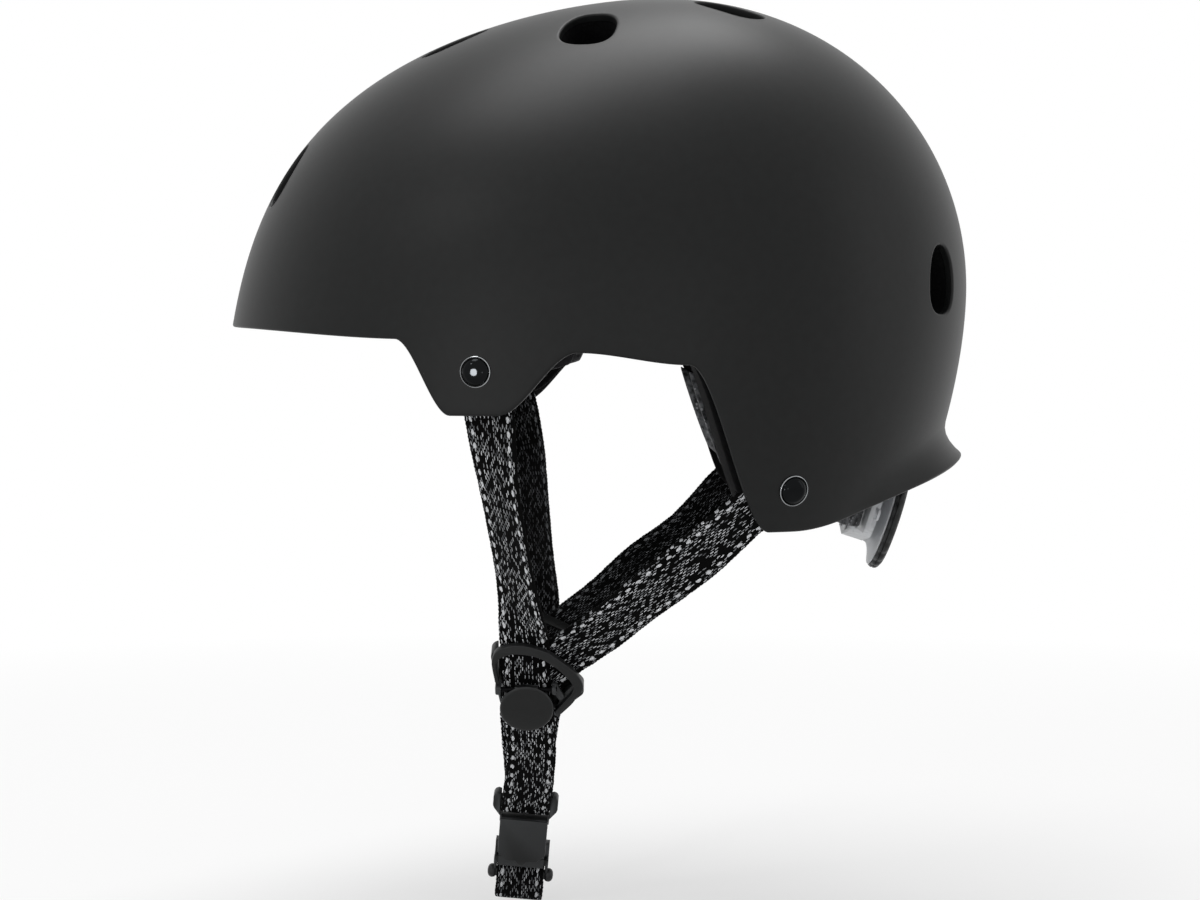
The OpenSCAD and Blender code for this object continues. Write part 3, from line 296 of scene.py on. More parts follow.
@dataclass(frozen=True)
class MouldedPlastic(Finish):
    """Spark-eroded nylon moulding: an even, slightly pebbled satin, with a paler highlight painted on its
    arrises.
    """

    sheen_level: float = 0.25
    # Colour and strength of the highlight painted on the arrises
    edge_highlight: str = "#5c5e60"
    highlight_share: float = 0.7
    arris: Two = (0.53, 0.62)

    def dress(self, graph: Graph, where: Socket) -> dict[str, object]:
        """Pebbled texture of the mould and the highlight painted on its arrises."""
        grains = {"Vector": where, "Scale": self.grain}
        pebbles = graph.add("TexVoronoi", named=grains, feature="SMOOTH_F1")
        cloud = graph.add("TexNoise", named={"Vector": where, "Scale": 90, "Detail": 3})
        body = graph.add("ValToRGB", cloud, stops=[(0.3, self.dark), (0.7, self.light)])
        # Convex arrises, found by their pointiness, are painted paler as a highlight
        bent = graph.add("NewGeometry", out="Pointiness")
        highlight_mask = graph.add("MapRange", bent, *self.arris, None, self.highlight_share)
        return {
            "Base Color": graph.add(
                "Mix", named={0: highlight_mask, 6: body, 7: linear(self.edge_highlight)}, data_type="RGBA", out=2
            ),
            "Roughness": graph.add("MapRange", cloud, None, None, *self.gloss(0.05)),
            "Specular IOR Level": self.sheen_level,
            "Relief": (pebbles, 1.0),
        }


@dataclass(frozen=True)
class BeadFoam(Finish):
    """Steam-moulded EPS: fused beads of about 3 mm with dark joints between them."""

    bead: float = 3.0

    def dress(self, graph: Graph, where: Socket) -> dict[str, object]:
        """Beads and their joints."""
        beads = graph.add(
            "TexVoronoi", named={"Vector": where, "Scale": 1 / (self.bead * MM)}, feature="DISTANCE_TO_EDGE"
        )
        dome = graph.add("Math:SMOOTH_MIN", beads, 0.22, 0.1)
        return {
            "Base Color": graph.add(
                "ValToRGB", beads, stops=[(0.0, self.dark), (0.12, self.light), (1.0, self.light)]
            ),
            "Specular IOR Level": 0.08,
            "Relief": (dome, 0.7),
        }


@dataclass(frozen=True)
class BrushedFelt(Finish):
    """Needled felt of dark and pale fibres: soft, mottled, with small pale flocks on top."""

    fleck: str = "#8f9093"
    blotch: float = 450
    flock: float = 640
    fibre: float = 1500

    def dress(self, graph: Graph, where: Socket) -> dict[str, object]:
        """Mottling, flocks and fibre relief."""
        blotches = graph.add("TexNoise", named={"Vector": where, "Scale": self.blotch, "Detail": 6})
        base = graph.add("ValToRGB", blotches, stops=[(0.36, self.dark), (0.64, self.light)])
        flocks = graph.add("TexVoronoi", named={"Vector": where, "Scale": self.flock, "Randomness": 1})
        chosen = graph.add("Math:GREATER_THAN", flocks.node.outputs["Color"], 0.62)
        mask = graph.add("Math:MULTIPLY", chosen, graph.add("Math:LESS_THAN", flocks, 0.3))
        fibres = graph.add("TexNoise", named={"Vector": where, "Scale": self.fibre, "Detail": 6})
        return {
            "Base Color": graph.add(
                "Mix", named={0: mask, 6: base, 7: linear(self.fleck)}, data_type="RGBA", out=2
            ),
            "Sheen Weight": 0.25,
            "Sheen Roughness": 0.5,
            "Specular IOR Level": 0.15,
            "Relief": (fibres, 1.0),
        }


@dataclass(frozen=True)
class SpacerKnit(Finish):
    """Warp-knit comfort fabric over foam: rows of small open cells about 2 mm apart."""

    cell: float = 2.0

    def dress(self, graph: Graph, where: Socket) -> dict[str, object]:
        """Cells of the knit."""
        cells = graph.add(
            "TexVoronoi", named={"Vector": where, "Scale": 1 / (self.cell * MM), "Randomness": 0.15}
        )
        return {
            "Base Color": graph.add("ValToRGB", cells, stops=[(0.15, self.dark), (0.4, self.light)]),
            "Sheen Weight": 0.3,
            "Specular IOR Level": 0.2,
            "Relief": (cells, 0.8),
        }


@dataclass(frozen=True)
class FleckedWebbing(Finish):
    """Woven polyester webbing: black warp with pale dashes, and larger flecks near both edges.

    Its pattern lies on the piece's own UV map, whose unit is a millimetre: U across, V along. The
    threads are drawn about twice as coarse as real ones, so that they show.
    """

    fleck: str = "#e4e6e9"
    thread: float = 0.72
    rib: float = 2.2
    skew: float = 0.12
    sway: float = 0.8
    roundness: Two = (7.0, 3.6)
    group_share: Two = (0.34, 0.5)
    fleck_inset: float = 1.9
    fleck_pitch: float = 4.8
    fleck_half: Two = (0.55, 0.24)
    inner_loss: float = 0.62

    def off_middle(self, graph: Graph, value: Socket) -> Socket:
        """Distance from the middle of a value's cell, 0 to 0.5."""
        return graph.add("Math:ABSOLUTE", graph.add("Math:SUBTRACT", graph.add("Math:FRACT", value), 0.5))

    def threads(self, graph: Graph, across: Socket, along: Socket) -> tuple[Socket, Socket, Socket]:
        """Lays staggered threads on the webbing, one a cell.

        Args:
            graph: The material's nodes.
            across: Place across the webbing in millimetres.
            along: Place along the webbing in millimetres.

        Returns:
            A chance for each thread, one for each group of ribs, and the thread's round height.
        """
        column = graph.add("Math:DIVIDE", across, self.thread)
        whole = graph.add("Math:FLOOR", column)
        step = graph.add("Math:MULTIPLY", graph.add("Math:MODULO", whole, 2.0), 0.5)
        row = graph.add("Math:ADD", graph.add("Math:DIVIDE", along, self.rib), step)
        line = graph.add("Math:FLOOR", row)
        chances = []
        for wide, long in ((1.0, 1.0), self.group_share):
            cell = [
                graph.add("Math:FLOOR", graph.add("Math:MULTIPLY", place, share))
                for place, share in ((whole, wide), (line, long))
            ]
            key = graph.add("CombineXYZ", *cell)
            chances.append(graph.add("TexWhiteNoise", key, noise_dimensions="2D"))
        x, y = self.off_middle(graph, column), self.off_middle(graph, row)
        falls = [
            graph.add("Math:MULTIPLY", graph.add("Math:POWER", off, 2.0), steep)
            for off, steep in zip((x, y), self.roundness)
        ]
        return chances[0], chances[1], graph.add("Math:SUBTRACT", 1.0, graph.add("Math:ADD", *falls))

    def dress(self, graph: Graph, where: Socket) -> dict[str, object]:
        """Threads, rows of flecks and the weave's relief."""
        uv = graph.add("TexCoord", out="UV")
        u = graph.add("SeparateXYZ", uv)
        sway = graph.add("TexNoise", named={"Vector": uv, "Scale": 0.3, "Detail": 2})
        sway = graph.add("Math:MULTIPLY", graph.add("Math:SUBTRACT", sway, 0.5), self.sway)
        across = graph.add("Math:ADD", u, sway)
        lean = graph.add("Math:MULTIPLY", across, self.skew)
        along = graph.add("Math:ADD", u.node.outputs["Y"], lean)
        chance, group, height = self.threads(graph, across, along)
        # A pale thread comes up in about half of the cells, and fewer do in some groups of ribs
        bar = graph.add("Math:MULTIPLY_ADD", group, 0.3, 0.27)
        up = graph.add(
            "Math:MULTIPLY", graph.add("Math:GREATER_THAN", chance, bar),
            graph.add("Math:GREATER_THAN", height, 0.5),
        )
        bright = graph.add("Math:MULTIPLY_ADD", graph.add("Math:POWER", chance, 2.0), 0.9, 0.12)
        tone = graph.add("Math:MULTIPLY", up, bright)
        # Rows of larger flecks near both edges
        from_edge = graph.add("Math:PINGPONG", across, WEB_W / 2)
        near = graph.add("Math:ABSOLUTE", graph.add("Math:SUBTRACT", from_edge, self.fleck_inset))
        wave = self.off_middle(graph, graph.add("Math:DIVIDE", along, self.fleck_pitch))
        oval = [
            graph.add("Math:POWER", graph.add("Math:DIVIDE", off, half), 2.0)
            for off, half in zip((near, wave), self.fleck_half)
        ]
        big = graph.add("Math:LESS_THAN", graph.add("Math:ADD", *oval), 1.0)
        strong = graph.add("Math:MAXIMUM", tone, graph.add("Math:MULTIPLY", big, 0.95))
        # The inner face, marked by a shifted U, shows far less of the pale thread
        inner = graph.add("Math:GREATER_THAN", u, INNER_SHIFT / 2)
        share = graph.add("Math:MULTIPLY_ADD", inner, -self.inner_loss, 1.0)
        strong = graph.add("Math:MULTIPLY", strong, share)
        raised = graph.add(
            "Math:ADD", graph.add("Math:MAXIMUM", height, 0.0), graph.add("Math:MULTIPLY", big, 0.8)
        )
        return {
            "Base Color": graph.add(
                "ValToRGB", strong, stops=[(0.04, self.dark), (0.3, self.light), (0.95, self.fleck)]
            ),
            "Specular IOR Level": 0.06,
            "Relief": (raised, 0.9),
        }


FINISHES = {
    "shell": SprayedShell("shell_lacquer", "#0f1010", "#131414", 0.44, 2400, 0.012),
    "foam": BeadFoam("bead_foam", "#040404", "#0b0b0c", 0.85, relief=0.5),
    "pad": SpacerKnit("knit_pad", "#0b0b0c", "#2a2a2c", 0.9, relief=0.5),
    "arm": BrushedFelt("felt_arm", "#222324", "#6c6d70", 0.95, relief=0.25),
    "web": FleckedWebbing("flecked_webbing", "#030303", "#727477", 0.8, relief=0.35),
    "black_plastic": MouldedPlastic("black_nylon", "#111212", "#171818", 0.42, 1800, 0.03),
    "grey_plastic": MouldedPlastic("grey_nylon", "#b6b8bb", "#c2c4c7", 0.38, 1800, 0.02, edge_highlight="#d6d8da"),
    "chrome": Plated("black_chrome", "#161718", "#1a1b1c", 0.06, 900, 0.0005),
    "nickel": Plated("bright_nickel", "#8a8c8e", "#a2a4a6", 0.18, 900, 0.002),
    "steel": Plated("zinc_steel", "#8a8b8c", "#9a9b9c", 0.3, 900, 0.01),
    "oxide": Plated("black_oxide_steel", "#0d0d0e", "#141415", 0.45, 900, 0.004),
    "thread": Finish("sewing_thread", "#101011", "#1d1d1f", 0.8, 3000, 0.05),
}
Looks = dict[str, Material]


# Meshes


def unit(vectors: Array) -> Array:
    """Scales vectors along the last axis to a length of one."""
    return vectors / np.maximum(np.linalg.norm(vectors, axis=-1, keepdims=True), 1e-9)


def ramp(low: float, high: float, value: Array | float) -> Array:
    """Smooth step from 0 to 1 between two values."""
    share = np.clip((np.asarray(value, float) - low) / (high - low), 0, 1)
    return share * share * (3 - 2 * share)


def run_along(points: Array) -> Array:
    """Length of a line up to each of its points."""
    return np.concatenate([[0], np.cumsum(np.linalg.norm(np.diff(points, axis=0), axis=1))])


def ways_along(points: Array) -> Array:
    """Way that a line takes at each of its points."""
    return np.concatenate([points[1:2] - points[:1], points[2:] - points[:-2], points[-1:] - points[-2:-1]])


def laid(out: Array, degrees: float) -> tuple[Array, Array]:
    """Two directions square to a way out, the first one level until both are turned by an angle."""
    x = unit(np.cross([0, 0, 1], out))
    y = np.cross(out, x)
    c, s = math.cos(math.radians(degrees)), math.sin(math.radians(degrees))
    return x * c + y * s, y * c - x * s


def curve(points: Array, steps: int) -> Array:
    """Smooth curve through rows of numbers, with a number of steps in each span."""
    p = np.asarray(points, float)
    out = []
    for i in range(len(p) - 1):
        a, b, c, d = p[max(i - 1, 0)], p[i], p[i + 1], p[min(i + 2, len(p) - 1)]
        for k in range(steps):
            t = k / steps
            square, cube = 2 * a - 5 * b + 4 * c - d, 3 * b - a - 3 * c + d
            out.append(0.5 * (2 * b + (c - a) * t + square * t**2 + cube * t**3))
    out.append(p[-1])
    return np.array(out)


def mirrored(points: Array, side: Side) -> Array:
    """Puts points of the left side on a given side."""
    return points * np.array([1, -side.value, 1])


def linked(name: str, data: bpy.types.ID) -> Piece:
    """Makes an object and links it to the scene."""
    made = bpy.data.objects.new(name, data)
    bpy.context.scene.collection.objects.link(made)
    return made


def edited(piece: Piece, change: Callable[[bmesh.types.BMesh], object]) -> Piece:
    """Changes a piece's mesh as a bmesh."""
    work = bmesh.new()
    work.from_mesh(piece.data)
    change(work)
    work.to_mesh(piece.data)
    work.free()
    return piece


def smoothed(piece: Piece, sharp: float) -> Piece:
    """Shades a piece smooth and keeps its edges sharp past an angle in degrees."""
    limit = math.radians(sharp)

    def mark(work: bmesh.types.BMesh) -> None:
        """Marks each edge as smooth or sharp."""
        for edge in work.edges:
            edge.smooth = len(edge.link_faces) != 2 or edge.calc_face_angle(0) < limit

    piece.data.shade_smooth()
    return edited(piece, mark)


def mesh_object(
    name: str, points: Array, faces: Sequence[Sequence[int]], material: Material,
    uv: Array | None = None, sharp: float = 35.0, outwards: bool = False,
) -> Piece:
    """Makes a mesh object from points in millimetres.

    Args:
        name: Name of the piece.
        points: Points, with X, Y and Z along the last axis.
        faces: Point numbers of each face.
        material: Its finish.
        uv: One row of U and V for each corner of each face, or None.
        sharp: Angle in degrees past which an edge stays sharp.
        outwards: Whether the faces of a closed mesh are turned outwards.

    Returns:
        The object, linked to the scene.
    """
    mesh = bpy.data.meshes.new(name)
    mesh.from_pydata((np.reshape(points, (-1, 3)) * MM).tolist(), [], [list(f) for f in faces])
    if uv is not None:
        mesh.uv_layers.new(name="UVMap").data.foreach_set("uv", np.asarray(uv, np.float32).ravel())
    mesh.materials.append(material)
    made = smoothed(linked(name, mesh), sharp)
    if outwards:
        edited(made, lambda work: bmesh.ops.recalc_face_normals(work, faces=work.faces))
    return made


def modifier(piece: Piece, kind: str, **settings: object) -> bpy.types.Modifier:
    """Adds a modifier with its settings."""
    change = piece.modifiers.new(kind.lower(), kind)
    for name, value in settings.items():
        setattr(change, name, value)
    return change


def applied(piece: Piece) -> Piece:
    """Turns a piece with modifiers into a plain mesh."""
    bpy.context.view_layer.update()
    result = bpy.data.meshes.new_from_object(piece.evaluated_get(bpy.context.evaluated_depsgraph_get()))
    piece.modifiers.clear()
    piece.data = result
    return piece


def rounded(piece: Piece, radius: float, angle: float) -> Piece:
    """Rounds a piece's arrises past an angle in degrees with a radius in millimetres."""
    modifier(
        piece, "BEVEL", width=radius * MM, segments=2, limit_method="ANGLE",
        angle_limit=math.radians(angle), use_clamp_overlap=True,
    )
    return smoothed(applied(piece), 40)


def joined(name: str, parts: Sequence[Piece]) -> Piece:
    """Joins pieces into the first one under a name; the others are removed."""
    with bpy.context.temp_override(active_object=parts[0], selected_editable_objects=list(parts)):
        bpy.ops.object.join()
    parts[0].name = parts[0].data.name = name
    return parts[0]


def cut(piece: Piece, tools: Sequence[Piece]) -> Piece:
    """Takes cutting solids away from a piece and removes them."""
    for tool in tools:
        modifier(piece, "BOOLEAN", operation="DIFFERENCE", solver="EXACT", object=tool)
    applied(piece)
    for tool in tools:
        bpy.data.objects.remove(tool)
    return piece


def grid_faces(rows: int, columns: int, closed: bool = True) -> list[list[int]]:
    """Faces of a grid of points, outward when rows run down and columns run to the right.

    Args:
        rows: Number of rows of points.
        columns: Number of points in a row.
        closed: Whether the last column joins the first.

    Returns:
        Four point numbers for each face.
    """
    faces = []
    for i in range(rows - 1):
        for j in range(columns if closed else columns - 1):
            a, b = i * columns + j, i * columns + (j + 1) % columns
            faces.append([a, a + columns, b + columns, b])
    return faces


def domed_faces(rows: int, columns: int) -> list[list[int]]:
    """Faces of a closed grid and of its two poles, whose points come after the grid's."""
    high, final = rows * columns, (rows - 1) * columns
    faces = grid_faces(rows, columns)
    for j in range(columns):
        k = (j + 1) % columns
        faces += [[high, j, k], [high + 1, final + k, final + j]]
    return faces


def outward(grid: Array, top: Array) -> Array:
    """Outward directions at the points of a closed grid whose rows run down from a top point."""
    across = np.roll(grid, -1, axis=1) - np.roll(grid, 1, axis=1)
    above = np.concatenate([np.broadcast_to(top, grid[:1].shape), grid[:-1]])
    below = np.concatenate([grid[1:], grid[-1:]])
    return unit(np.cross(below - above, across))


# Shape of the helmet

# Stretches of the side's edge along X, each with its number of columns
EDGE_SPANS = ((-68, -49, 5), (-49, -33, 2), (-33, -6, 5), (-6, 31, 4), (31, 58, 9), (58, 82, 4))
FRONT_COLUMNS = 8
REAR_COLUMNS = 11


@dataclass(frozen=True)
class HelmetForm:
    """The helmet's outer surface and its edge, with the values of the part's source."""

    crown_h: float = 119.4
    crown_x: float = 22.0
    front_reach: float = 162.7
    rear_reach: float = 112.5
    shell_w: float = 214.0
    shell_t: float = 2.5
    brow_drop: float = 5.4
    front_lobe_drop: float = 31.0
    ear_drop: float = 10.0
    rear_lobe_drop: float = 70.2
    tail_drop: float = 47.0
    tail_flare: float = 9.6
    flare_h: float = 12.3
    bond_gap: float = 0.3
    liner_top_t: float = 24.0
    liner_end_t: float = 28.0
    liner_side_t: float = 21.0
    liner_lift: float = 3.0
    plan_power: float = 2.15
    ear_slope: float = 4.0
    # Base and two powers of the quarter curve over each base height
    front_curve: Three = (-300, 8.314, 1.7)
    rear_curve: Three = (13.6, 2.02, 2.086)
    side_curve: Three = (15, 2.1, 2.2)
    # Depth, height and power of the tuck under each base height
    rear_tuck: Three = (11.8, 63, 1.76)
    side_tuck: Three = (9, 89, 2)
    # Stations between which the edge rises or falls
    front_lobe: Two = (-68, -49)
    ear_front: Two = (-33, -6)
    ear_rear: Two = (31, 58)
    tail: Two = (66, 161)
    brow: Two = (-155.7, -60)
    # Stations between which the tail's lip starts to stand out, and heights of the liner's change
    flare: Two = (86, 124)
    crown_zone: Two = (60, 110)
    lobe_zone: Two = (12, 60)
    lobe_thinning: float = 0.38

    def reach(
        self, z: Array, full: float, over: Three,
        under: Three = (0, 1, 1),
    ) -> Array:
        """Reach from the crown's axis at a height.

        Args:
            z: Heights.
            full: Reach at the base height.
            over: Base height and two powers of the quarter curve over it.
            under: Depth, height and power of the tuck under it.

        Returns:
            Distances.
        """
        z = np.asarray(z, float)
        (base, n, m), (depth, height, power) = over, under
        share = np.clip((z - base) / (self.crown_h - base), 0, 1)
        tuck = depth * np.maximum(0, (base - z) / height) ** power
        return full * np.maximum(0, 1 - share**n) ** (1 / m) - tuck

    def front_a(self, z: Array) -> Array:
        """Reach in front of the crown at a height."""
        return self.reach(z, self.front_reach, self.front_curve)

    def rear_a(self, z: Array) -> Array:
        """Reach behind the crown at a height."""
        return self.reach(z, self.rear_reach, self.rear_curve, self.rear_tuck)

    def half_w(self, z: Array) -> Array:
        """Half width at a height."""
        return self.reach(z, self.shell_w / 2, self.side_curve, self.side_tuck)

    def on_shell(self, bearing: Array, z: Array) -> Array:
        """Points of the outer surface at bearings from the front, 0 to 180 on the left side."""
        bearing, z = np.broadcast_arrays(np.asarray(bearing, float), np.asarray(z, float))
        c, s = np.cos(np.radians(bearing)), np.sin(np.radians(bearing))
        power = 2 / self.plan_power
        reach = np.where(c > 0, self.front_a(z), self.rear_a(z))
        x = self.crown_x - np.sign(c) * np.abs(c) ** power * reach
        return np.stack([x, -np.sign(s) * np.abs(s) ** power * self.half_w(z), z], -1)

    def rim(self, x: Array) -> Array:
        """Height of the shell's edge at a station along X."""
        x = np.asarray(x, float)
        gain = 1 / ramp(*self.tail, self.crown_x + self.rear_a(-self.tail_drop))
        return (
            -self.brow_drop * ramp(*self.brow, x)
            - (self.front_lobe_drop - self.brow_drop) * ramp(*self.front_lobe, x)
            + (self.front_lobe_drop - self.ear_drop) * ramp(*self.ear_front, x)
            - self.ear_slope * ramp(self.ear_front[1], self.ear_rear[0], x)
            - (self.rear_lobe_drop - self.ear_drop - self.ear_slope) * ramp(*self.ear_rear, x)
            + (self.rear_lobe_drop - self.tail_drop) * ramp(*self.tail, x) * gain
        )

    def bearing_at(self, x: Array) -> Array:
        """Bearing of the edge at a station on the left side."""
        x = np.asarray(x, float)
        z = self.rim(x)
        r = (x - self.crown_x) / np.where(x < self.crown_x, self.front_a(z), self.rear_a(z))
        return np.degrees(np.arccos(-np.sign(r) * np.minimum(1, np.abs(r)) ** (self.plan_power / 2)))

    def edge_z(self, bearing: Array, start: float) -> Array:
        """Height of the edge at a bearing, where it slopes gently."""
        z = np.full(np.shape(bearing), start, float)
        for _ in range(14):
            z = self.rim(self.on_shell(bearing, z)[..., 0])
        return z

    def ring(self, fine: int) -> tuple[Array, Array]:
        """Bearings and edge heights all the way round, with columns for each one of the source."""
        side = [a + (b - a) * np.arange(n * fine) / (n * fine) for a, b, n in EDGE_SPANS]
        side = np.concatenate(side)
        first, last = self.bearing_at(EDGE_SPANS[0][0]), self.bearing_at(EDGE_SPANS[-1][1])
        count = REAR_COLUMNS * fine
        front = first * np.arange(FRONT_COLUMNS * fine) / (FRONT_COLUMNS * fine)
        rear = last + (180 - last) * np.arange(count + 1) / count
        bearing = np.concatenate([front, self.bearing_at(side), rear])
        edge = np.concatenate([self.edge_z(front, 0), self.rim(side), self.edge_z(rear, -30)])
        return np.concatenate([bearing, 360 - bearing[-2:0:-1]]), np.concatenate([edge, edge[-2:0:-1]])

    def flared(self, p: Array, edge: Array, flare: float) -> Array:
        """Pushes the lowest band of the tail outwards."""
        out = unit(np.stack([p[..., 0] - self.crown_x, p[..., 1] * 0.8, 0 * p[..., 0]], -1))
        near = np.clip(1 - (p[..., 2] - edge) / self.flare_h, 0, 1)
        return p + out * (flare * ramp(*self.flare, p[..., 0]) * near**2)[..., None]

    def grid(self, fine: int, dome: int, band: int, flare: float, lift: Array | float = 0.0) -> Array:
        """Outer surface as a grid of points, rows running down from the crown.

        Args:
            fine: Columns for each one of the part's source.
            dome: Rows round the dome.
            band: Rows over the flared band.
            flare: How far the tail's lip stands out.
            lift: Height of the last row above the shell's edge.

        Returns:
            Points by row and column.
        """
        bearing, edge = self.ring(fine)
        top = edge + self.flare_h
        falls = [1 - math.cos(math.pi / 2 * i / dome) for i in range(1, dome + 1)]
        rows = [self.crown_h - (self.crown_h - top) * fall for fall in falls]
        rows += [top + (edge + lift - top) * i / band for i in range(1, band + 1)]
        return np.array([self.flared(self.on_shell(bearing, z), edge, flare) for z in rows])

    def lift(self, fine: int) -> Array:
        """Height of the liner's edge above the shell's for each column."""
        bearing, edge = self.ring(fine)
        x = self.on_shell(bearing, edge)[..., 0]
        forward = 2.5 * ramp(20, 34, x) * (1 - ramp(50, 62, x))
        return self.liner_lift + 7 * ramp(60, 100, x) + self.rim(x + forward) - self.rim(x)

    def liner_t(self, p: Array) -> Array:
        """Thickness of the liner at points of the outer surface."""
        share = np.clip(np.abs(p[..., 0] - self.crown_x) / 100, 0, 1)
        side = self.liner_side_t + (self.liner_end_t - self.liner_side_t) * share**2
        body = side + (self.liner_top_t - side) * ramp(*self.crown_zone, p[..., 2])
        return body * (1 - self.lobe_thinning * ramp(*self.lobe_zone, -p[..., 2]))

    def liner_in(self, p: Array) -> Array:
        """Depth of the liner's inner face at points of the outer surface."""
        return self.shell_t + self.bond_gap + self.liner_t(p)

    def depth_of(self, p: Array) -> Array:
        """Below zero inside the outer surface, above zero outside it."""
        a = np.where(p[..., 0] < self.crown_x, self.front_a(p[..., 2]), self.rear_a(p[..., 2]))
        along = (np.abs(p[..., 0] - self.crown_x) / np.maximum(a, 0.01)) ** self.plan_power
        across = (np.abs(p[..., 1]) / np.maximum(self.half_w(p[..., 2]), 0.01)) ** self.plan_power
        return np.where(p[..., 2] > self.crown_h, 1.0, along + across - 1)

    def dropped(self, p: Array, way: Array, low: float = -25.0, high: float = 15.0) -> Array:
        """Moves points along a way, between two distances, until they lie on the outer surface."""
        low, high = np.full(p.shape[:-1], low), np.full(p.shape[:-1], high)
        for _ in range(34):
            middle = (low + high) / 2
            inside = self.depth_of(p + way * middle[..., None]) < 0
            low, high = np.where(inside, middle, low), np.where(inside, high, middle)
        return p + way * ((low + high) / 2)[..., None]

    def shell_out(self, bearing: Array, z: Array) -> Array:
        """Outward direction at a bearing and height."""
        across = self.on_shell(bearing - 1, z) - self.on_shell(bearing + 1, z)
        return unit(np.cross(across, self.on_shell(bearing, z - 1) - self.on_shell(bearing, z + 1)))

    def side_point(self, x: float, z: float) -> Array:
        """Point of the outer surface on the left side."""
        a = self.front_a(z) if x < self.crown_x else self.rear_a(z)
        share = max(0.0, 1 - min(1.0, abs(x - self.crown_x) / float(a)) ** self.plan_power)
        return np.array([x, -float(self.half_w(z)) * share ** (1 / self.plan_power), z])

    def side_out(self, x: float, z: float) -> Array:
        """Outward direction on the left side."""
        across = self.side_point(x + 1, z) - self.side_point(x - 1, z)
        return unit(np.cross(across, self.side_point(x, z + 1) - self.side_point(x, z - 1)))

    def liner_side(self, x: float, z: float, depth: float) -> Array:
        """Point under the liner's inner face on the left side."""
        p = self.side_point(x, z)
        return p - self.side_out(x, z) * (self.liner_in(p) + depth)


@dataclass(frozen=True)
class Wall:
    """A closed domed wall with a rounded lower edge; the inner face has half the outer one's rows."""

    name: str
    material: Material
    outer_r: float
    inner_r: float
    space: float
    arris_rows: int = 5

    def edge(self, last: Array, out: Array, thick: Array) -> list[Array]:
        """Rounded rows round the lower edge, from the outer face to the inner one.

        Args:
            last: Outer points of the edge, one a column.
            out: Outward directions there.
            thick: Thickness of the wall there.

        Returns:
            Rows of points.
        """
        along = unit(np.roll(last, -1, axis=0) - np.roll(last, 1, axis=0))
        down = unit(np.cross(along, out))
        down *= np.sign(-down[:, 2:3])
        most = 0.8 * self.space * np.abs(down[:, 2])
        rows = []
        for radius, order, inner in ((self.outer_r, 1, False), (self.inner_r, -1, True)):
            r = np.minimum(radius, most)[:, None]
            for k in range(self.arris_rows + 1)[::order]:
                a = math.pi / 2 * k / self.arris_rows
                depth = thick[:, None] - r * (1 - math.cos(a)) if inner else r * (1 - math.cos(a))
                rows.append(last - down * r * (1 - math.sin(a)) - out * depth)
        return rows

    def build(self, outer: Array, thick: Array, tops: tuple[Array, Array]) -> Piece:
        """Makes the wall.

        Args:
            outer: Grid of its outer face, the last row being the edge.
            thick: Thickness at each point of the grid.
            tops: Crown points of the outer and the inner face.

        Returns:
            The piece.
        """
        out = outward(outer, tops[0])
        edge = np.array(self.edge(outer[-1], out[-1], thick[-1]))
        rows = np.concatenate([outer[:-1], edge, (outer - out * thick[..., None])[-2::-2]])
        points = np.concatenate([rows.reshape(-1, 3), tops])
        return mesh_object(self.name, points, domed_faces(*rows.shape[:2]), self.material)


@dataclass(frozen=True)
class Vent:
    """One rounded vent: its place on the shell, its size and its turn in degrees."""

    bearing: float
    height: float
    length: float
    width: float
    turn: float = 0.0
    power: float = 0.82
    taper: float = 0.14
    points: int = 96

    def outline(self, grow: float) -> Array:
        """Outline in the vent's own plane, grown outwards by a distance."""
        a = np.arange(self.points) * 2 * math.pi / self.points
        c, s = np.cos(a), np.sin(a)
        x = self.width / 2 * np.sign(c) * np.abs(c) ** self.power * (1 - self.taper * s)
        flat = np.stack([x, self.length / 2 * np.sign(s) * np.abs(s) ** self.power], -1)
        way = np.roll(flat, -1, axis=0) - np.roll(flat, 1, axis=0)
        return flat + unit(np.stack([way[:, 1], -way[:, 0]], -1)) * grow

    def loop(self, form: HelmetForm, side: Side, grow: float, depth: float) -> Array:
        """Grown outline laid on the shell's surface on one side and sunk by a depth."""
        at, out = form.on_shell(self.bearing, self.height), form.shell_out(self.bearing, self.height)
        x, y = laid(out, self.turn)
        flat = self.outline(grow)
        return mirrored(form.dropped(at + flat[:, :1] * x + flat[:, 1:] * y, out) - out * depth, side)

    def cutter(
        self, form: HelmetForm, side: Side, material: Material, rings: Sequence[Two]
    ) -> Piece:
        """Solid that cuts the vent, through rings of growth and depth from the outside inwards."""
        loops = np.array([self.loop(form, side, grow, depth) for grow, depth in rings])
        count = self.points
        caps = [list(range(count)), list(range((len(loops) - 1) * count, len(loops) * count))[::-1]]
        return mesh_object("cutter", loops, grid_faces(len(loops), count) + caps, material, outwards=True)

    def lip(self, form: HelmetForm, side: Side, material: Material, radius: float, depth: float) -> Piece:
        """Rounded rim of the vent, from a hair over the shell's face down its wall.

        Args:
            form: The helmet's form.
            side: Side of the wearer.
            material: Its finish.
            radius: Radius of the rounding.
            depth: Depth of the wall.

        Returns:
            The rim.
        """
        hair, lap, steps = 0.012, 0.5, 6
        rings = [(radius + lap, -hair)]
        for k in range(steps + 1):
            a = math.pi / 2 * k / steps
            rings.append((radius * (1 - math.sin(a)), radius * (1 - math.cos(a)) - hair))
        rings.append((0.0, depth))
        grid = np.array([self.loop(form, side, grow, sunk) for grow, sunk in rings])
        faces = grid_faces(len(rings), self.points)
        if side is Side.RIGHT:
            faces = [f[::-1] for f in faces]
        return mesh_object("lip", grid, faces, material)


VENTS = (
    Vent(14, 54, 26, 16),
    Vent(24, 101.6, 26, 18, -20),
    Vent(72.5, 103.4, 25, 19),
    Vent(126, 113, 26, 18, 25),
    Vent(150, 15.5, 24, 19),
)
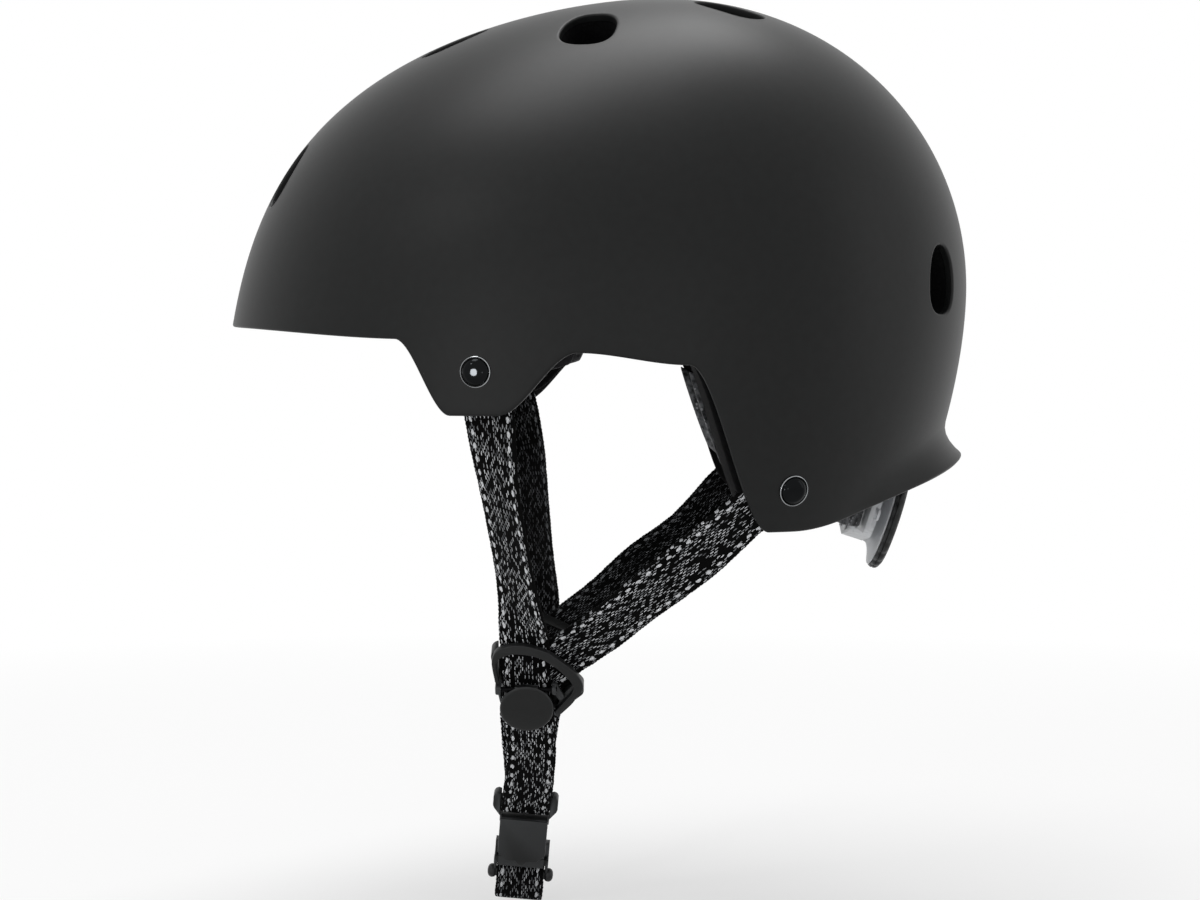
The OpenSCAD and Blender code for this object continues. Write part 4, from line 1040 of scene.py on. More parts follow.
# Rings of a vent's cutter start this far outside the shell
CLEAR = 9


def keep(piece: Piece, body: str, slot: str, *nodes: str) -> Piece:
    """Ties a finished piece to its body and hides the solids that it stands for.

    Args:
        piece: The finished piece.
        body: The body that it moves with.
        slot: The record's material slot; not used.
        nodes: The solids that it replaces.

    Returns:
        The piece.
    """
    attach(piece, body)
    if nodes:
        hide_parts(*nodes)
    LOG.info("%s rides on %s, %d faces", piece.name, body, len(piece.data.polygons))
    return piece


def keep_bending(
    piece: Piece, body: str, slot: str, node: str, start: Sequence[float], end: Sequence[float]
) -> None:
    """Bakes a finished piece's place into its mesh and hides the solid that it replaces.

    Args:
        piece: The finished piece.
        body: The moving body.
        slot: The record's material slot; not used.
        node: The solid that it replaces.
        start: Point in millimetres up to which it would stay with the helmet; not used.
        end: Point in millimetres from which it would move with the body; not used.
    """
    tuple(np.array(start) * MM)
    tuple(np.array(end) * MM)
    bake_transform(piece)
    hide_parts(node)
    LOG.info("%s bends between helmet and %s", piece.name, body)


@dataclass
class Shell:
    """Hard outer shell with ten vents and a rounded edge all round."""

    form: HelmetForm
    looks: Looks
    fine: int = 5
    dome_rows: int = 78
    band_rows: int = 5
    lip_r: float = 0.9
    outer_r: float = 0.9
    inner_r: float = 0.6

    def build(self) -> None:
        """Builds the shell and puts it in place of its solid."""
        form, lacquer = self.form, self.looks["shell"]
        outer = form.grid(self.fine, self.dome_rows, self.band_rows, form.tail_flare)
        thick = np.full(outer.shape[:2], form.shell_t)
        top = np.array([form.crown_x, 0, form.crown_h])
        space = form.flare_h / self.band_rows
        wall = Wall("shell_lacquered", lacquer, self.outer_r, self.inner_r, space)
        shell = wall.build(outer, thick, (top, top - [0, 0, form.shell_t]))
        tools, lips = [], []
        for vent in VENTS:
            for side in Side:
                tools.append(vent.cutter(form, side, lacquer, [(self.lip_r, -CLEAR), (self.lip_r, 12)]))
                lips.append(vent.lip(form, side, lacquer, self.lip_r, form.shell_t + 0.2))
        smoothed(cut(shell, [joined("cutters", tools)]), 30)
        keep(joined("shell_lacquered", [shell, *lips]), "helmet", "shell", "outer_shell")


@dataclass
class Liner:
    """Foam liner with vents that widen inwards and pockets for the webbing."""

    form: HelmetForm
    looks: Looks
    fine: int = 4
    dome_rows: int = 52
    band_rows: int = 4
    outer_r: float = 0.8
    inner_r: float = 3.0
    pocket_depth: float = 8.0
    pocket_half: float = 8.5
    pocket_above: float = 12.0

    def pocket(self, at: Two, turn: float, length: float, side: Side) -> Piece:
        """Box that cuts a webbing pocket.

        Args:
            at: Station and height of the rivet.
            turn: Turn of the webbing in degrees.
            length: Length of the pocket.
            side: Side of the wearer.

        Returns:
            The cutting solid.
        """
        out = self.form.side_out(*at)
        x, y = laid(out, turn)
        points = [
            self.form.side_point(*at) + u * x + v * y + n * out
            for u in (-self.pocket_half, self.pocket_half)
            for v in (self.pocket_above - length, self.pocket_above)
            for n in (-self.pocket_depth, 4.0)
        ]
        faces = [[0, 1, 3, 2], [4, 6, 7, 5], [0, 4, 5, 1], [2, 3, 7, 6], [0, 2, 6, 4], [1, 5, 7, 3]]
        foam = self.looks["foam"]
        return mesh_object("pocket", mirrored(np.array(points), side), faces, foam, outwards=True)

    def build(self) -> None:
        """Builds the liner and puts it in place of its solid."""
        form, foam = self.form, self.looks["foam"]
        drop = form.shell_t + form.bond_gap
        grid = form.grid(self.fine, self.dome_rows, self.band_rows, 0.0, form.lift(self.fine))
        top = np.array([form.crown_x, 0, form.crown_h])
        tops = (top - [0, 0, drop], top - [0, 0, drop + form.liner_top_t])
        wall = Wall("liner_foam", foam, self.outer_r, self.inner_r, form.flare_h / self.band_rows)
        liner = wall.build(grid - outward(grid, top) * drop, form.liner_t(grid), tops)
        tools = []
        for vent in VENTS:
            deep = float(form.liner_in(form.on_shell(vent.bearing, vent.height)))
            rings = [(0.1, -CLEAR), (0.1, deep - 4), (0.5, deep - 1.6), (1.6, deep - 0.2), (4.0, deep + 3)]
            tools += [vent.cutter(form, side, foam, rings) for side in Side]
        cut(liner, [joined("cutters", tools)])
        pockets = []
        for side in Side:
            pockets += [self.pocket(FRONT_RIVET, 8, 52, side), self.pocket(REAR_RIVET, -57, 62, side)]
        smoothed(cut(liner, [joined("pockets", pockets)]), 35)
        keep(liner, "helmet", "foam", "foam_liner")


# Webbing


def row(at: Sequence[float], face: Sequence[float]) -> Array:
    """A point of a path with the way that the webbing's face looks."""
    return np.array([*at, *face], float)


@dataclass
class Webbing:
    """Flat flecked webbing: the left strap, both legs of the right strap and the buckle's loop."""

    form: HelmetForm
    looks: Looks
    steps: int = 44
    scallop: float = 0.2
    scallop_pitch: float = 1.55
    wavering: float = 0.07
    top_bar_y: float = 13.0
    pull: float = 22.0
    loop_r: float = 1.8 + 0.25 + WEB_T / 2
    split: Two = (-7.6, -10.8)
    rise: Two = (0.575, -0.818)
    layer_gap: float = WEB_T + 0.35

    def at_rivet(self, rivet: Two, places: Sequence[Sequence[float]]) -> list[Array]:
        """Rows under the shell, each by how far back, up and further in it lies from the rivet."""
        (x, z), form = rivet, self.form
        out = form.side_out(x, z)
        return [
            row(form.side_point(x + a, z + b) - form.side_out(x + a, z + b) * (STRAP_DEPTH + c), out)
            for a, b, c in places
        ]

    def front_leg(self, sway: float = 0.0) -> list[Array]:
        """Path from the left front rivet to the divider, swayed back by a distance."""
        places = ((-0.4, 24), (-0.3, 12), (0.4, -2), (1.1, -12))
        return [
            *self.at_rivet(FRONT_RIVET, ((-0.6, 9, 0), (0, 0, 0), (2, -9, 0), (3.3, -15, 0.6))),
            row([sway - 33.1, -90.5, -52.5], [-0.58, -0.81, 0]),
            row([0.6 * sway - 29.6, -81, -75.5], [-0.61, -0.79, -0.05]),
            row([0.25 * sway - 26.8, -68, -96], [-0.5, -0.84, -0.2]),
            *[row(divider_point(u, v, LAY), DIVIDER_FACE) for u, v in places],
        ]

    def rear_leg(self, sag: float = 0.0) -> list[Array]:
        """Path from the left rear rivet to the divider, its upper end lowered by a distance."""
        places = ((8.6, 13.4), (1, 5), (-0.8, -3), (-1, -12))
        return [
            *self.at_rivet(REAR_RIVET, ((7.4, 4.9, 0), (0, 0, 0), (-7.6, -4.9, 0), (-15, -10, 1.4))),
            row([34, -82.5, -79.2 - sag], [0.1, -0.97, -0.2]),
            row([15, -72, -94.8], [0.12, -0.93, -0.35]),
            row([1.5, -61.8, -106.4], [0.05, -0.9, -0.43]),
            row(divider_point(14, 18.6, -LAY - 0.1), DIVIDER_FACE),
            *[row(divider_point(u, v, -LAY), DIVIDER_FACE) for u, v in places],
        ]

    def buckle_path(self, points: Sequence[Sequence[float]]) -> list[Array]:
        """Path through points of the buckle's frame, the webbing's face square to the way."""
        p = np.asarray(points, float)
        ways = ways_along(p)
        return [row(buckle_point(*a), buckle_point(0, w[2], -w[1]) - BUCKLE_AT) for a, w in zip(p, ways)]

    def round_bar(self, y: float, angle: float) -> Two:
        """Place on the webbing's middle round a bar, by its angle from the front downwards."""
        a = math.radians(angle)
        return y - self.loop_r * math.sin(a), self.loop_r * math.cos(a)

    def off_bar(self, x: float, angle: float, run: float) -> list[float]:
        """Point that leaves the round of the upper bar at an angle."""
        y, n = self.round_bar(self.top_bar_y, angle)
        pull = math.radians(self.pull)
        return [x, y + run * math.cos(pull), n + run * math.sin(pull)]

    def left_path(self) -> Array:
        """Path of the left strap: down, round the upper bar and up again."""
        flip = np.array([1, 1, 1, -1, -1, -1])
        down = [*self.front_leg(), row([-24, -35, -153.4], [0, -0.79, -0.61])]
        coming = ((1, 13), (0.4, 6), (0, 0.5))
        down += self.buckle_path([self.off_bar(x, self.pull, run) for x, run in coming])
        half_turn = np.arange(self.pull, self.pull + 181, 15)
        turn = self.buckle_path([[0, *self.round_bar(self.top_bar_y, a)] for a in half_turn])
        leaving = ((0, 180, 0.5), (0.2, 180, 6), (0.4, 175, 13))
        up = self.buckle_path([self.off_bar(x, self.pull + a, run) for x, a, run in leaving])
        up += [row([-25.6, -32.6, -152.8], [0, 0.79, 0.61]), *[p * flip for p in self.rear_leg()[::-1]]]
        return np.concatenate([curve(down, self.steps), curve(turn, 3), curve(up, self.steps)])

    def right_path(self, leg: list[Array], layer: float) -> Array:
        """Path of one leg of the right strap down to where the loop begins, a layer's depth behind."""
        flip = np.array([1, -1, 1, 1, -1, 1])
        (y, n), (up, out) = self.split, self.rise
        tail = [
            row(buckle_point(-0.5, y + up * run + out * layer, n + out * run - up * layer), [0, 0.8, -0.6])
            for run in (36, 16, 0.7)
        ]
        return curve([p * flip for p in leg] + tail, self.steps)

    def loop_path(self) -> Array:
        """Path of the loop round the lower bar."""
        y, n = self.split[0] + self.rise[1] * self.layer_gap, self.split[1] - self.rise[0] * self.layer_gap
        points = [
            [-0.5, y, n], [-0.4, y - 3.4, n + 4.6], [-0.2, -17.4, -5.4], [0, -22.2, -4.6],
            [0, -25.3, -1.2], [0, -23.9, 2], [0, -19, self.loop_r - 0.05],
            *[[0, *self.round_bar(LOW_BAR_Y, -a)] for a in (0, 30, 60, 90)],
            [-0.1, -12.7, -2.6], [-0.3, -11.3, -6.2], [-0.5, *self.split],
        ]
        return np.array(self.buckle_path(curve(points, 8)))

    def section(self, across: Array) -> list[Three]:
        """Cross-section with rounded selvedges: share across, share of thickness, place across."""
        face = [(s * 0.955, 1.0 - 0.12 * (abs(s) > 0.95), (s + 1) / 2) for s in across]
        selvedge = [(0.995, 0.55), (1.0, 0.0), (0.995, -0.55)]
        return [
            *[(s, -t, u) for s, t, u in face],
            *[(s, -t, 1.0) for s, t in selvedge],
            *face[::-1],
            *[(-s, t, 0.0) for s, t in selvedge],
        ]

    def band(self, name: str, path: Array, seed: int, inner: bool = False) -> Piece:
        """Builds webbing along a path, with selvedges that waver a little.

        Args:
            name: Name of the piece.
            path: Rows of point and face direction.
            seed: Seed of the wavering.
            inner: Whether the face away from the path's outward side is the quiet inner one.

        Returns:
            The piece.
        """
        distinct = np.concatenate([[True], np.linalg.norm(np.diff(path[:, :3], axis=0), axis=1) > 0.02])
        at, look = path[distinct, :3], path[distinct, 3:]
        along = unit(ways_along(at))
        face = unit(look - along * np.sum(look * along, -1, keepdims=True))
        side = np.cross(along, face)
        way = run_along(at)
        knots = np.arange(0, way[-1] + 4, 2.0)
        drawn = np.random.default_rng(seed).normal(0, self.wavering, len(knots))
        scallop = self.scallop * (np.cos(2 * math.pi * way / self.scallop_pitch) - 1) / 2
        half = WEB_W / 2 + np.interp(way, knots, drawn) + scallop
        flat = np.linspace(-1, 1, 9)
        section = self.section(flat)
        count = len(section)
        rows = [at + side * (half * s)[:, None] + face * (WEB_T / 2 * t) for s, t, _ in section]
        faces, uv = [], []
        for i in range(len(at) - 1):
            for j in range(count):
                k = (j + 1) % count
                faces.append([i * count + j, (i + 1) * count + j, (i + 1) * count + k, i * count + k])
                shift = INNER_SHIFT if inner and j < k < len(flat) else 0.0
                u, w = section[j][2] * WEB_W + shift, section[k][2] * WEB_W + shift
                uv += [(u, way[i]), (u, way[i + 1]), (w, way[i + 1]), (w, way[i])]
        for end, order in ((0, range(count)), (len(at) - 1, range(count - 1, -1, -1))):
            faces.append([end * count + j for j in order])
            uv += [(section[j][2] * WEB_W, way[end]) for j in order]
        return mesh_object(name, np.stack(rows, 1), faces, self.looks["web"], np.array(uv), 60)

    def build(self) -> None:
        """Builds the webbing and puts it in place of its solids."""
        keep(self.band("webbing_left", self.left_path(), 3), "helmet", "webbing", "left_strap")
        keep(self.band("webbing_loop", self.loop_path(), 5), "buckle_lower", "webbing", "buckle_loop")
        start, end = (-30, 70, -100), (-28, 2, -188)
        legs = (("front", self.front_leg(2.4), self.layer_gap), ("rear", self.rear_leg(2.6), 0.0))
        for word, leg, layer in legs:
            piece = self.band(f"webbing_right_{word}", self.right_path(leg, layer), 7, True)
            keep_bending(piece, "buckle_lower", "webbing", f"right_{word}_strap", start, end)


# Rivets, screws and stitches


@dataclass
class Stamps:
    """Geometry nodes that set one item on many points, each with its own facing and direction."""

    name: str = "set_on_points"

    def tree(self) -> bpy.types.GeometryNodeTree:
        """Builds the node group once and returns it."""
        found = bpy.data.node_groups.get(self.name)
        if found:
            return found
        group = bpy.data.node_groups.new(self.name, "GeometryNodeTree")
        inputs = {"Points": "Geometry", "Item": "Object", "Scale": "Float", "Finish": "Material"}
        for label, kind in inputs.items():
            group.interface.new_socket(name=label, in_out="INPUT", socket_type=f"NodeSocket{kind}")
        group.interface.new_socket(name="Pieces", in_out="OUTPUT", socket_type="NodeSocketGeometry")
        graph = Graph(group)
        source = graph.add("NodeGroupInput").node.outputs
        facing, along = (
            graph.add("GeometryNodeInputNamedAttribute", label, data_type="FLOAT_VECTOR", out="Attribute")
            for label in ("facing", "along")
        )
        align = "FunctionNodeAlignRotationToVector"
        upright = graph.add(align, named={"Vector": facing}, axis="Z")
        turn = graph.add(align, named={"Rotation": upright, "Vector": along}, axis="X", pivot_axis="Z")
        points = graph.add("GeometryNodeMeshToPoints", source["Points"])
        item = graph.add("GeometryNodeObjectInfo", source["Item"], out="Geometry")
        placed = graph.add(
            "GeometryNodeInstanceOnPoints",
            named={"Points": points, "Instance": item, "Rotation": turn, "Scale": source["Scale"]},
        )
        real = graph.add("GeometryNodeRealizeInstances", placed)
        paint = {"Geometry": real, "Material": source["Finish"]}
        graph.add("NodeGroupOutput", graph.add("GeometryNodeSetMaterial", named=paint))
        return group

    def set(
        self, name: str, item: Piece, at: Array, facing: Array, along: Array, finish: Material
    ) -> Piece:
        """Sets an item on points and removes the item.

        Args:
            name: Name of the piece.
            item: The item, standing on the origin along +Z.
            at: Points in millimetres.
            facing: The way that each item's Z looks.
            along: The way that each item's X looks.
            finish: The material.

        Returns:
            All of them as one piece.
        """
        mesh = bpy.data.meshes.new(name)
        mesh.from_pydata((np.asarray(at) * MM).tolist(), [], [])
        for label, values in (("facing", facing), ("along", along)):
            layer = mesh.attributes.new(label, "FLOAT_VECTOR", "POINT")
            layer.data.foreach_set("vector", np.asarray(values, np.float32).ravel())
        piece = linked(name, mesh)
        change = modifier(piece, "NODES", node_group=self.tree())
        values = {"Item": item, "Scale": 1.0, "Finish": finish}
        for socket in change.node_group.interface.items_tree:
            if socket.name in values:
                change[socket.identifier] = values[socket.name]
        smoothed(applied(piece), 35)
        bpy.data.objects.remove(item)
        return piece


def turned_item(
    name: str, profile: Outline, segments: int, material: Material, place: Place | None = None,
    flutes: int = 0, flute_depth: float = 0.0,
) -> Piece:
    """Makes a turned item about Z.

    Args:
        name: Name of the item.
        profile: Radius and height pairs from the top's middle to the bottom's middle, or a closed
            section where the first radius isn't zero.
        segments: Faces round the item.
        material: Its finish.
        place: Turns a point of the item's own frame into one of the part's frame.
        flutes: Number of finger flutes round its widest part.
        flute_depth: Depth of the flutes.

    Returns:
        The item.
    """
    angles = np.arange(segments) * 2 * math.pi / segments
    solid = profile[0][0] < 1e-6
    middle = np.array(profile[1:-1] if solid else profile)
    rows, widest = len(middle), middle[:, 0].max()
    share = ramp(widest - 2.2, widest - 0.6, middle[:, 0])
    sink = flute_depth * share[:, None] * ((1 + np.cos(angles * flutes)) / 2) ** 1.6 if flutes else 0.0
    radius, height = middle[:, :1] - sink + 0 * angles, middle[:, 1:] + 0 * angles
    points = np.stack([radius * np.cos(angles), radius * np.sin(angles), height], -1).reshape(-1, 3)
    if solid:
        points = np.concatenate([points, [[0, 0, profile[0][1]], [0, 0, profile[-1][1]]]])
        faces = domed_faces(rows, segments)
    else:
        faces, final = grid_faces(rows, segments), (rows - 1) * segments
        for j in range(segments):
            k = (j + 1) % segments
            faces.append([final + j, j, k, final + k])
    if place is not None:
        points = np.array([place(*p) for p in points])
    return mesh_object(name, points, faces, material, outwards=True)


def rectangle(x: Two, y: Two) -> Outline:
    """Outline of a rectangle between two places across and two places up."""
    return [(x[0], y[0]), (x[1], y[0]), (x[1], y[1]), (x[0], y[1])]


def prism(
    outline: Outline, low: float, high: float, place: Place, material: Material, radius: float
) -> Piece:
    """Extrudes an outline of a local frame and rounds its arrises.

    Args:
        outline: Points round the outline.
        low: Lower end of the extrusion.
        high: Upper end of the extrusion.
        place: Turns a point of the local frame into one of the part's frame.
        material: Its finish.
        radius: Radius of the rounding, or zero.

    Returns:
        The piece.
    """
    count = len(outline)
    points = [place(u, v, n) for n in (low, high) for u, v in outline]
    faces = [list(range(count))[::-1], list(range(count, 2 * count))]
    faces += [[i, (i + 1) % count, (i + 1) % count + count, i + count] for i in range(count)]
    made = mesh_object("prism", np.array(points), faces, material, outwards=True)
    return rounded(made, radius, 32) if radius > 0 else made


@dataclass
class Rivets:
    """Domed rivets with a raised ring, their flared tails and their washers."""

    form: HelmetForm
    looks: Looks
    stamps: Stamps
    head_r: float = 5.3
    ring_w: float = 0.42
    dome_r: float = 4.68
    dome_h: float = 1.7
    dome_power: float = 4.4
    shank_r: float = 2.2
    washer_depth: float = 2.5 + 0.8 + WEB_T + 0.25 + 1.0

    def head(self) -> Outline:
        """Half section of the rivet from the dome's top to its tail."""
        shares = [k / 16 for k in range(17)]
        dome = [(self.dome_r * s, 0.35 + self.dome_h * (1 - s**self.dome_power)) for s in shares]
        end = -self.washer_depth - 0.1
        shank = [(self.dome_r, 0.05), (self.shank_r, 0.05), (self.shank_r, end)]
        return [*dome, *shank, (3.6, end - 0.1), (2.8, end - 0.9), (0.0, end - 0.9)]

    def ring(self) -> Outline:
        """Closed section of the bright ring round the dome."""
        low, high = self.head_r - self.ring_w, self.head_r
        top = [(low, 0.5), (low + 0.14, 0.62), (high - 0.22, 0.6), (high - 0.04, 0.42)]
        return [*top, (high, 0.05), (low, 0.05)]

    def build(self) -> None:
        """Builds rivets and washers and puts them in place of their solids."""
        places = [(side, rivet) for side in Side for rivet in (FRONT_RIVET, REAR_RIVET)]
        at = np.array([mirrored(self.form.side_point(*rivet), side) for side, rivet in places])
        out = np.array([mirrored(self.form.side_out(*rivet), side) for side, rivet in places])
        washer = [(0, 1), (2.3, 1), (5.8, 1), (6, 0.85), (6, 0.15), (5.8, 0), (2.3, 0), (0, 0)]
        along = np.tile([1.0, 0, 0], (4, 1))
        made = []
        for name, profile, segments, look, depth in (
            ("rivets_chrome", self.head(), 64, "chrome", 0),
            ("rings", self.ring(), 64, "nickel", 0),
            ("rivet_washers_zinc", washer, 48, "steel", self.washer_depth),
        ):
            finish = self.looks[look]
            item = turned_item("item", profile, segments, finish)
            made.append(self.stamps.set(name, item, at - out * depth, out, along, finish))
        keep(joined("rivets_chrome", made[:2]), "helmet", "chrome", "shell_rivets")
        keep(made[2], "helmet", "steel", "rivet_washers")


# Soft pads


def puff(s: Array, t: Array) -> Array:
    """Share of a pad's thickness, full in the middle and drawn in at the edges."""
    return 0.16 + 0.84 * np.maximum(0, (1 - np.abs(s) ** 5) * (1 - np.abs(t) ** 4)) ** 0.5


def sewn(s: Array, seams: Sequence[float]) -> Array:
    """Sewn channels across a pad at given places."""
    deep = np.zeros_like(s)
    for seam in seams:
        deep = np.maximum(deep, np.exp(-(((s - seam) / 0.05) ** 2)))
    return 1 - 0.5 * deep


def seam_rows(seams: Sequence[float], count: int) -> list[tuple[int, int]]:
    """Axis and row number of each seam, for seams from -1 to 1 along a number of rows."""
    return [(0, round((seam + 1) / 2 * (count - 1))) for seam in seams]


@dataclass
class Padding:
    """Comfort pads on the liner and the padded arms behind the ears."""

    form: HelmetForm
    looks: Looks
    stamps: Stamps
    pad_t: float = 5.5
    arm_t: float = 4.6
    gap: float = 0.75
    stitch: float = 3.0
    stitch_reach: float = 0.8
    stitch_lift: float = 0.12
    crease: float = 0.16
    arm_seams: tuple[float, ...] = (-0.35, 0.25)

    def stitched(self, name: str, front: Array, back: Array, lines: Sequence[tuple[int, int]]) -> Piece:
        """Sews thread along rows or columns of a pad's front.

        Args:
            name: Name of the stitches.
            front: Grid of the face towards the head.
            back: Grid of the face against the carrier.
            lines: Axis of the grid and number of the row or column for each seam.

        Returns:
            The stitches as one mesh.
        """
        at, facing, along = [], [], []
        for axis, number in lines:
            line = np.take(front, number, axis)[2:-2]
            away = unit(line - np.take(back, number, axis)[2:-2])
            length = run_along(line)
            for place in np.arange(self.stitch / 2, length[-1], self.stitch):
                spot, ahead, look = (
                    np.array([np.interp(where, length, rows[:, c]) for c in range(3)])
                    for where, rows in ((place, line), (place + self.stitch_reach, line), (place, away))
                )
                if np.linalg.norm(ahead - spot) >= 0.1:
                    at.append(spot + self.stitch_lift * look)
                    facing.append(look)
                    along.append(ahead - spot)
        half = [(0.16, 0.98), (0.27, 0.7), (0.3, 0.2)]
        profile = [(0, 1.05), *half, *[(r, -z) for r, z in half[::-1]], (0, -1.05)]
        finish = self.looks["thread"]
        thread = turned_item("thread", profile, 8, finish, lambda x, y, z: np.array([z, y, x * 0.8]))
        return self.stamps.set(name, thread, np.array(at), np.array(facing), np.array(along), finish)

    def quilt(self, name: str, back: Array, front: Array, material: Material, seed: int) -> Piece:
        """Builds a soft pad between a back and a front grid.

        Args:
            name: Name of the piece.
            back: Grid of the face that lies against its carrier.
            front: Grid of the face towards the head.
            material: Its finish.
            seed: Seed of its small creases.

        Returns:
            The pad.
        """
        rows, columns = back.shape[:2]
        rng = np.random.default_rng(seed)
        waves = rng.uniform(0.05, 0.16, (5, 2))
        phase = rng.uniform(0, 6.28, 5)
        i, j = np.meshgrid(np.arange(rows), np.arange(columns), indexing="ij")
        crease = sum(np.sin(i * a + j * b + c) for (a, b), c in zip(waves * 6, phase)) / 5
        edge = puff(2 * i / (rows - 1) - 1, 2 * j / (columns - 1) - 1)
        front = front + unit(front - back) * (self.crease * crease * edge)[..., None]
        shift = rows * columns
        faces = grid_faces(rows, columns, False)
        faces += [[n + shift for n in f[::-1]] for f in faces]
        numbers = np.arange(shift).reshape(rows, columns)
        sides = (numbers[0, :-1], numbers[:-1, -1], numbers[-1, :0:-1], numbers[:0:-1, 0])
        border = np.concatenate(sides).tolist()
        faces += [[a, b, b + shift, a + shift] for a, b in zip(border, border[1:] + border[:1])]
        made = mesh_object(name, np.array([back, front]), faces, material, sharp=180, outwards=True)
        modifier(made, "SUBSURF", levels=1, render_levels=1)
        return applied(made)

    def spans(self, m: int, n: int) -> tuple[Array, Array, Array, Array]:
        """Places from -1 to 1 over a pad, plain and drawn in at the corners."""
        s, t = np.meshgrid(np.linspace(-1, 1, m), np.linspace(-1, 1, n), indexing="ij")
        return s, t, s * np.sqrt(1 - 0.3 * t * t), t * np.sqrt(1 - 0.3 * s * s)

    def liner_pad(
        self, name: str, middle: Two, half: Two,
        seams: Sequence[float], size: tuple[int, int],
    ) -> Piece:
        """Builds a pad on a patch of the liner.

        Args:
            name: Name of the piece.
            middle: Bearing in degrees and height of its middle.
            half: Half its span in degrees and half its height.
            seams: Places of its sewn channels.
            size: Points along it and across it.

        Returns:
            The pad.
        """
        s, t, cs, ct = self.spans(*size)
        b, h = middle[0] + half[0] * cs, middle[1] + half[1] * ct
        p, out = self.form.on_shell(b, h), self.form.shell_out(b, h)
        back = p - out * (self.form.liner_in(p) + self.gap)[..., None]
        front = back - out * (self.pad_t * puff(s, t) * sewn(s, seams))[..., None]
        if seams:
            lines = seam_rows(seams, size[0])
            keep(self.stitched(f"stitches_{name[4:]}", front, back, lines), "helmet", "pad")
        return self.quilt(name, back, front, self.looks["pad"], len(name))

    def crown_pad(self) -> Piece:
        """Builds the pad under the crown, sewn in a cross."""
        s, t, cs, ct = self.spans(57, 41)
        x, y = self.form.crown_x + 52 * cs, 33 * ct

        def surface(dx: float, dy: float) -> Array:
            """Points of the shell above or beside each point."""
            flat, up = np.stack([x + dx, y + dy, 0 * x], -1), np.array([0, 0, 1])
            return self.form.dropped(flat, up, -20, self.form.crown_h)

        p, d = surface(0, 0), 3.0
        slopes = [surface(-d, 0) - surface(d, 0), surface(0, -d) - surface(0, d)]
        out = unit(np.stack([*[slope[..., 2] for slope in slopes], np.full_like(x, 2 * d)], -1))
        back = p - out * (self.form.liner_in(p) + self.gap)[..., None]
        front = back - out * (self.pad_t * puff(s, t) * sewn(s, [0]) * sewn(t, [0]))[..., None]
        keep(self.stitched("stitches_crown", front, back, [(0, 28), (1, 20)]), "helmet", "pad")
        return self.quilt("pad_crown", back, front, self.looks["pad"], 11)

    def arm_edges(self, back: float) -> tuple[Array, Array]:
        """Upper and lower edge of the left padded arm, from the dial's housing forwards."""
        edges = []
        for dial, joint, places in (
            ((-6, -6.6), (84.5, -57.5, -53.0), ((73, -45), (58.5, -34), (44, -23), (31.5, -14.5))),
            ((6, 7), (82.0, -58.5, -68.5), ((69, -62), (60, -60.5), (53.5, -57.5), (47, -54))),
        ):
            start = [dial_point(dial[0], -36, back), dial_point(dial[1], -46, back - 1.4), np.array(joint)]
            edges.append(curve(start + [self.form.liner_side(x, z, self.gap + 0.13) for x, z in places], 8))
        return edges[0], edges[1]

    def arm(self, side: Side, back: float) -> Piece:
        """Builds one padded arm."""
        tops, lows = self.arm_edges(back)
        inward = unit(np.cross(ways_along((tops + lows) / 2), tops - lows))
        s, t, _, ct = self.spans(len(tops), 17)
        base = lows[:, None] + (tops - lows)[:, None] * ((ct + 1) / 2)[..., None]
        bow = 1.5 * ramp(1 / 6, 1 / 2, (s + 1) / 2) * (1 - t * t)
        rear = base + inward[:, None] * bow[..., None]
        front = rear + inward[:, None] * (self.arm_t * puff(s, t) * sewn(s, self.arm_seams))[..., None]
        rear, front = mirrored(rear, side), mirrored(front, side)
        made = self.quilt(f"arm_{side.name.lower()}", rear, front, self.looks["arm"], 21)
        stitches = self.stitched("stitches", front, rear, seam_rows(self.arm_seams, len(tops)))
        return joined(made.name, [made, stitches])

    def build(self) -> None:
        """Builds every pad and puts it in place of its solid."""
        temple = (9.5, 21), [], (33, 45)
        pads = [
            (self.liner_pad("pad_brow", (0, 20), (46, 15), [-0.5, 0, 0.5], (121, 33)), "brow_pad"),
            (self.liner_pad("pad_temple_left", (71, 2), *temple), "left_temple_pad"),
            (self.liner_pad("pad_temple_right", (-71, 2), *temple), "right_temple_pad"),
            (self.crown_pad(), "crown_pad"),
        ]
        for piece, node in pads:
            keep(piece, "helmet", "pad", node)
        # The right band lies in front of the left one
        for side, back in ((Side.LEFT, STRIP_BACK - 0.6), (Side.RIGHT, STRIP_BACK + 1.8 - 0.6)):
            word, y = side.name.lower(), side.value
            piece = self.arm(side, back)
            ends = (70, 62 * y, -50), (92, 50 * y, -62)
            keep_bending(piece, f"{word}_strip", "arm_pad", f"{word}_arm_pad", *ends)


# Hard parts from the solids


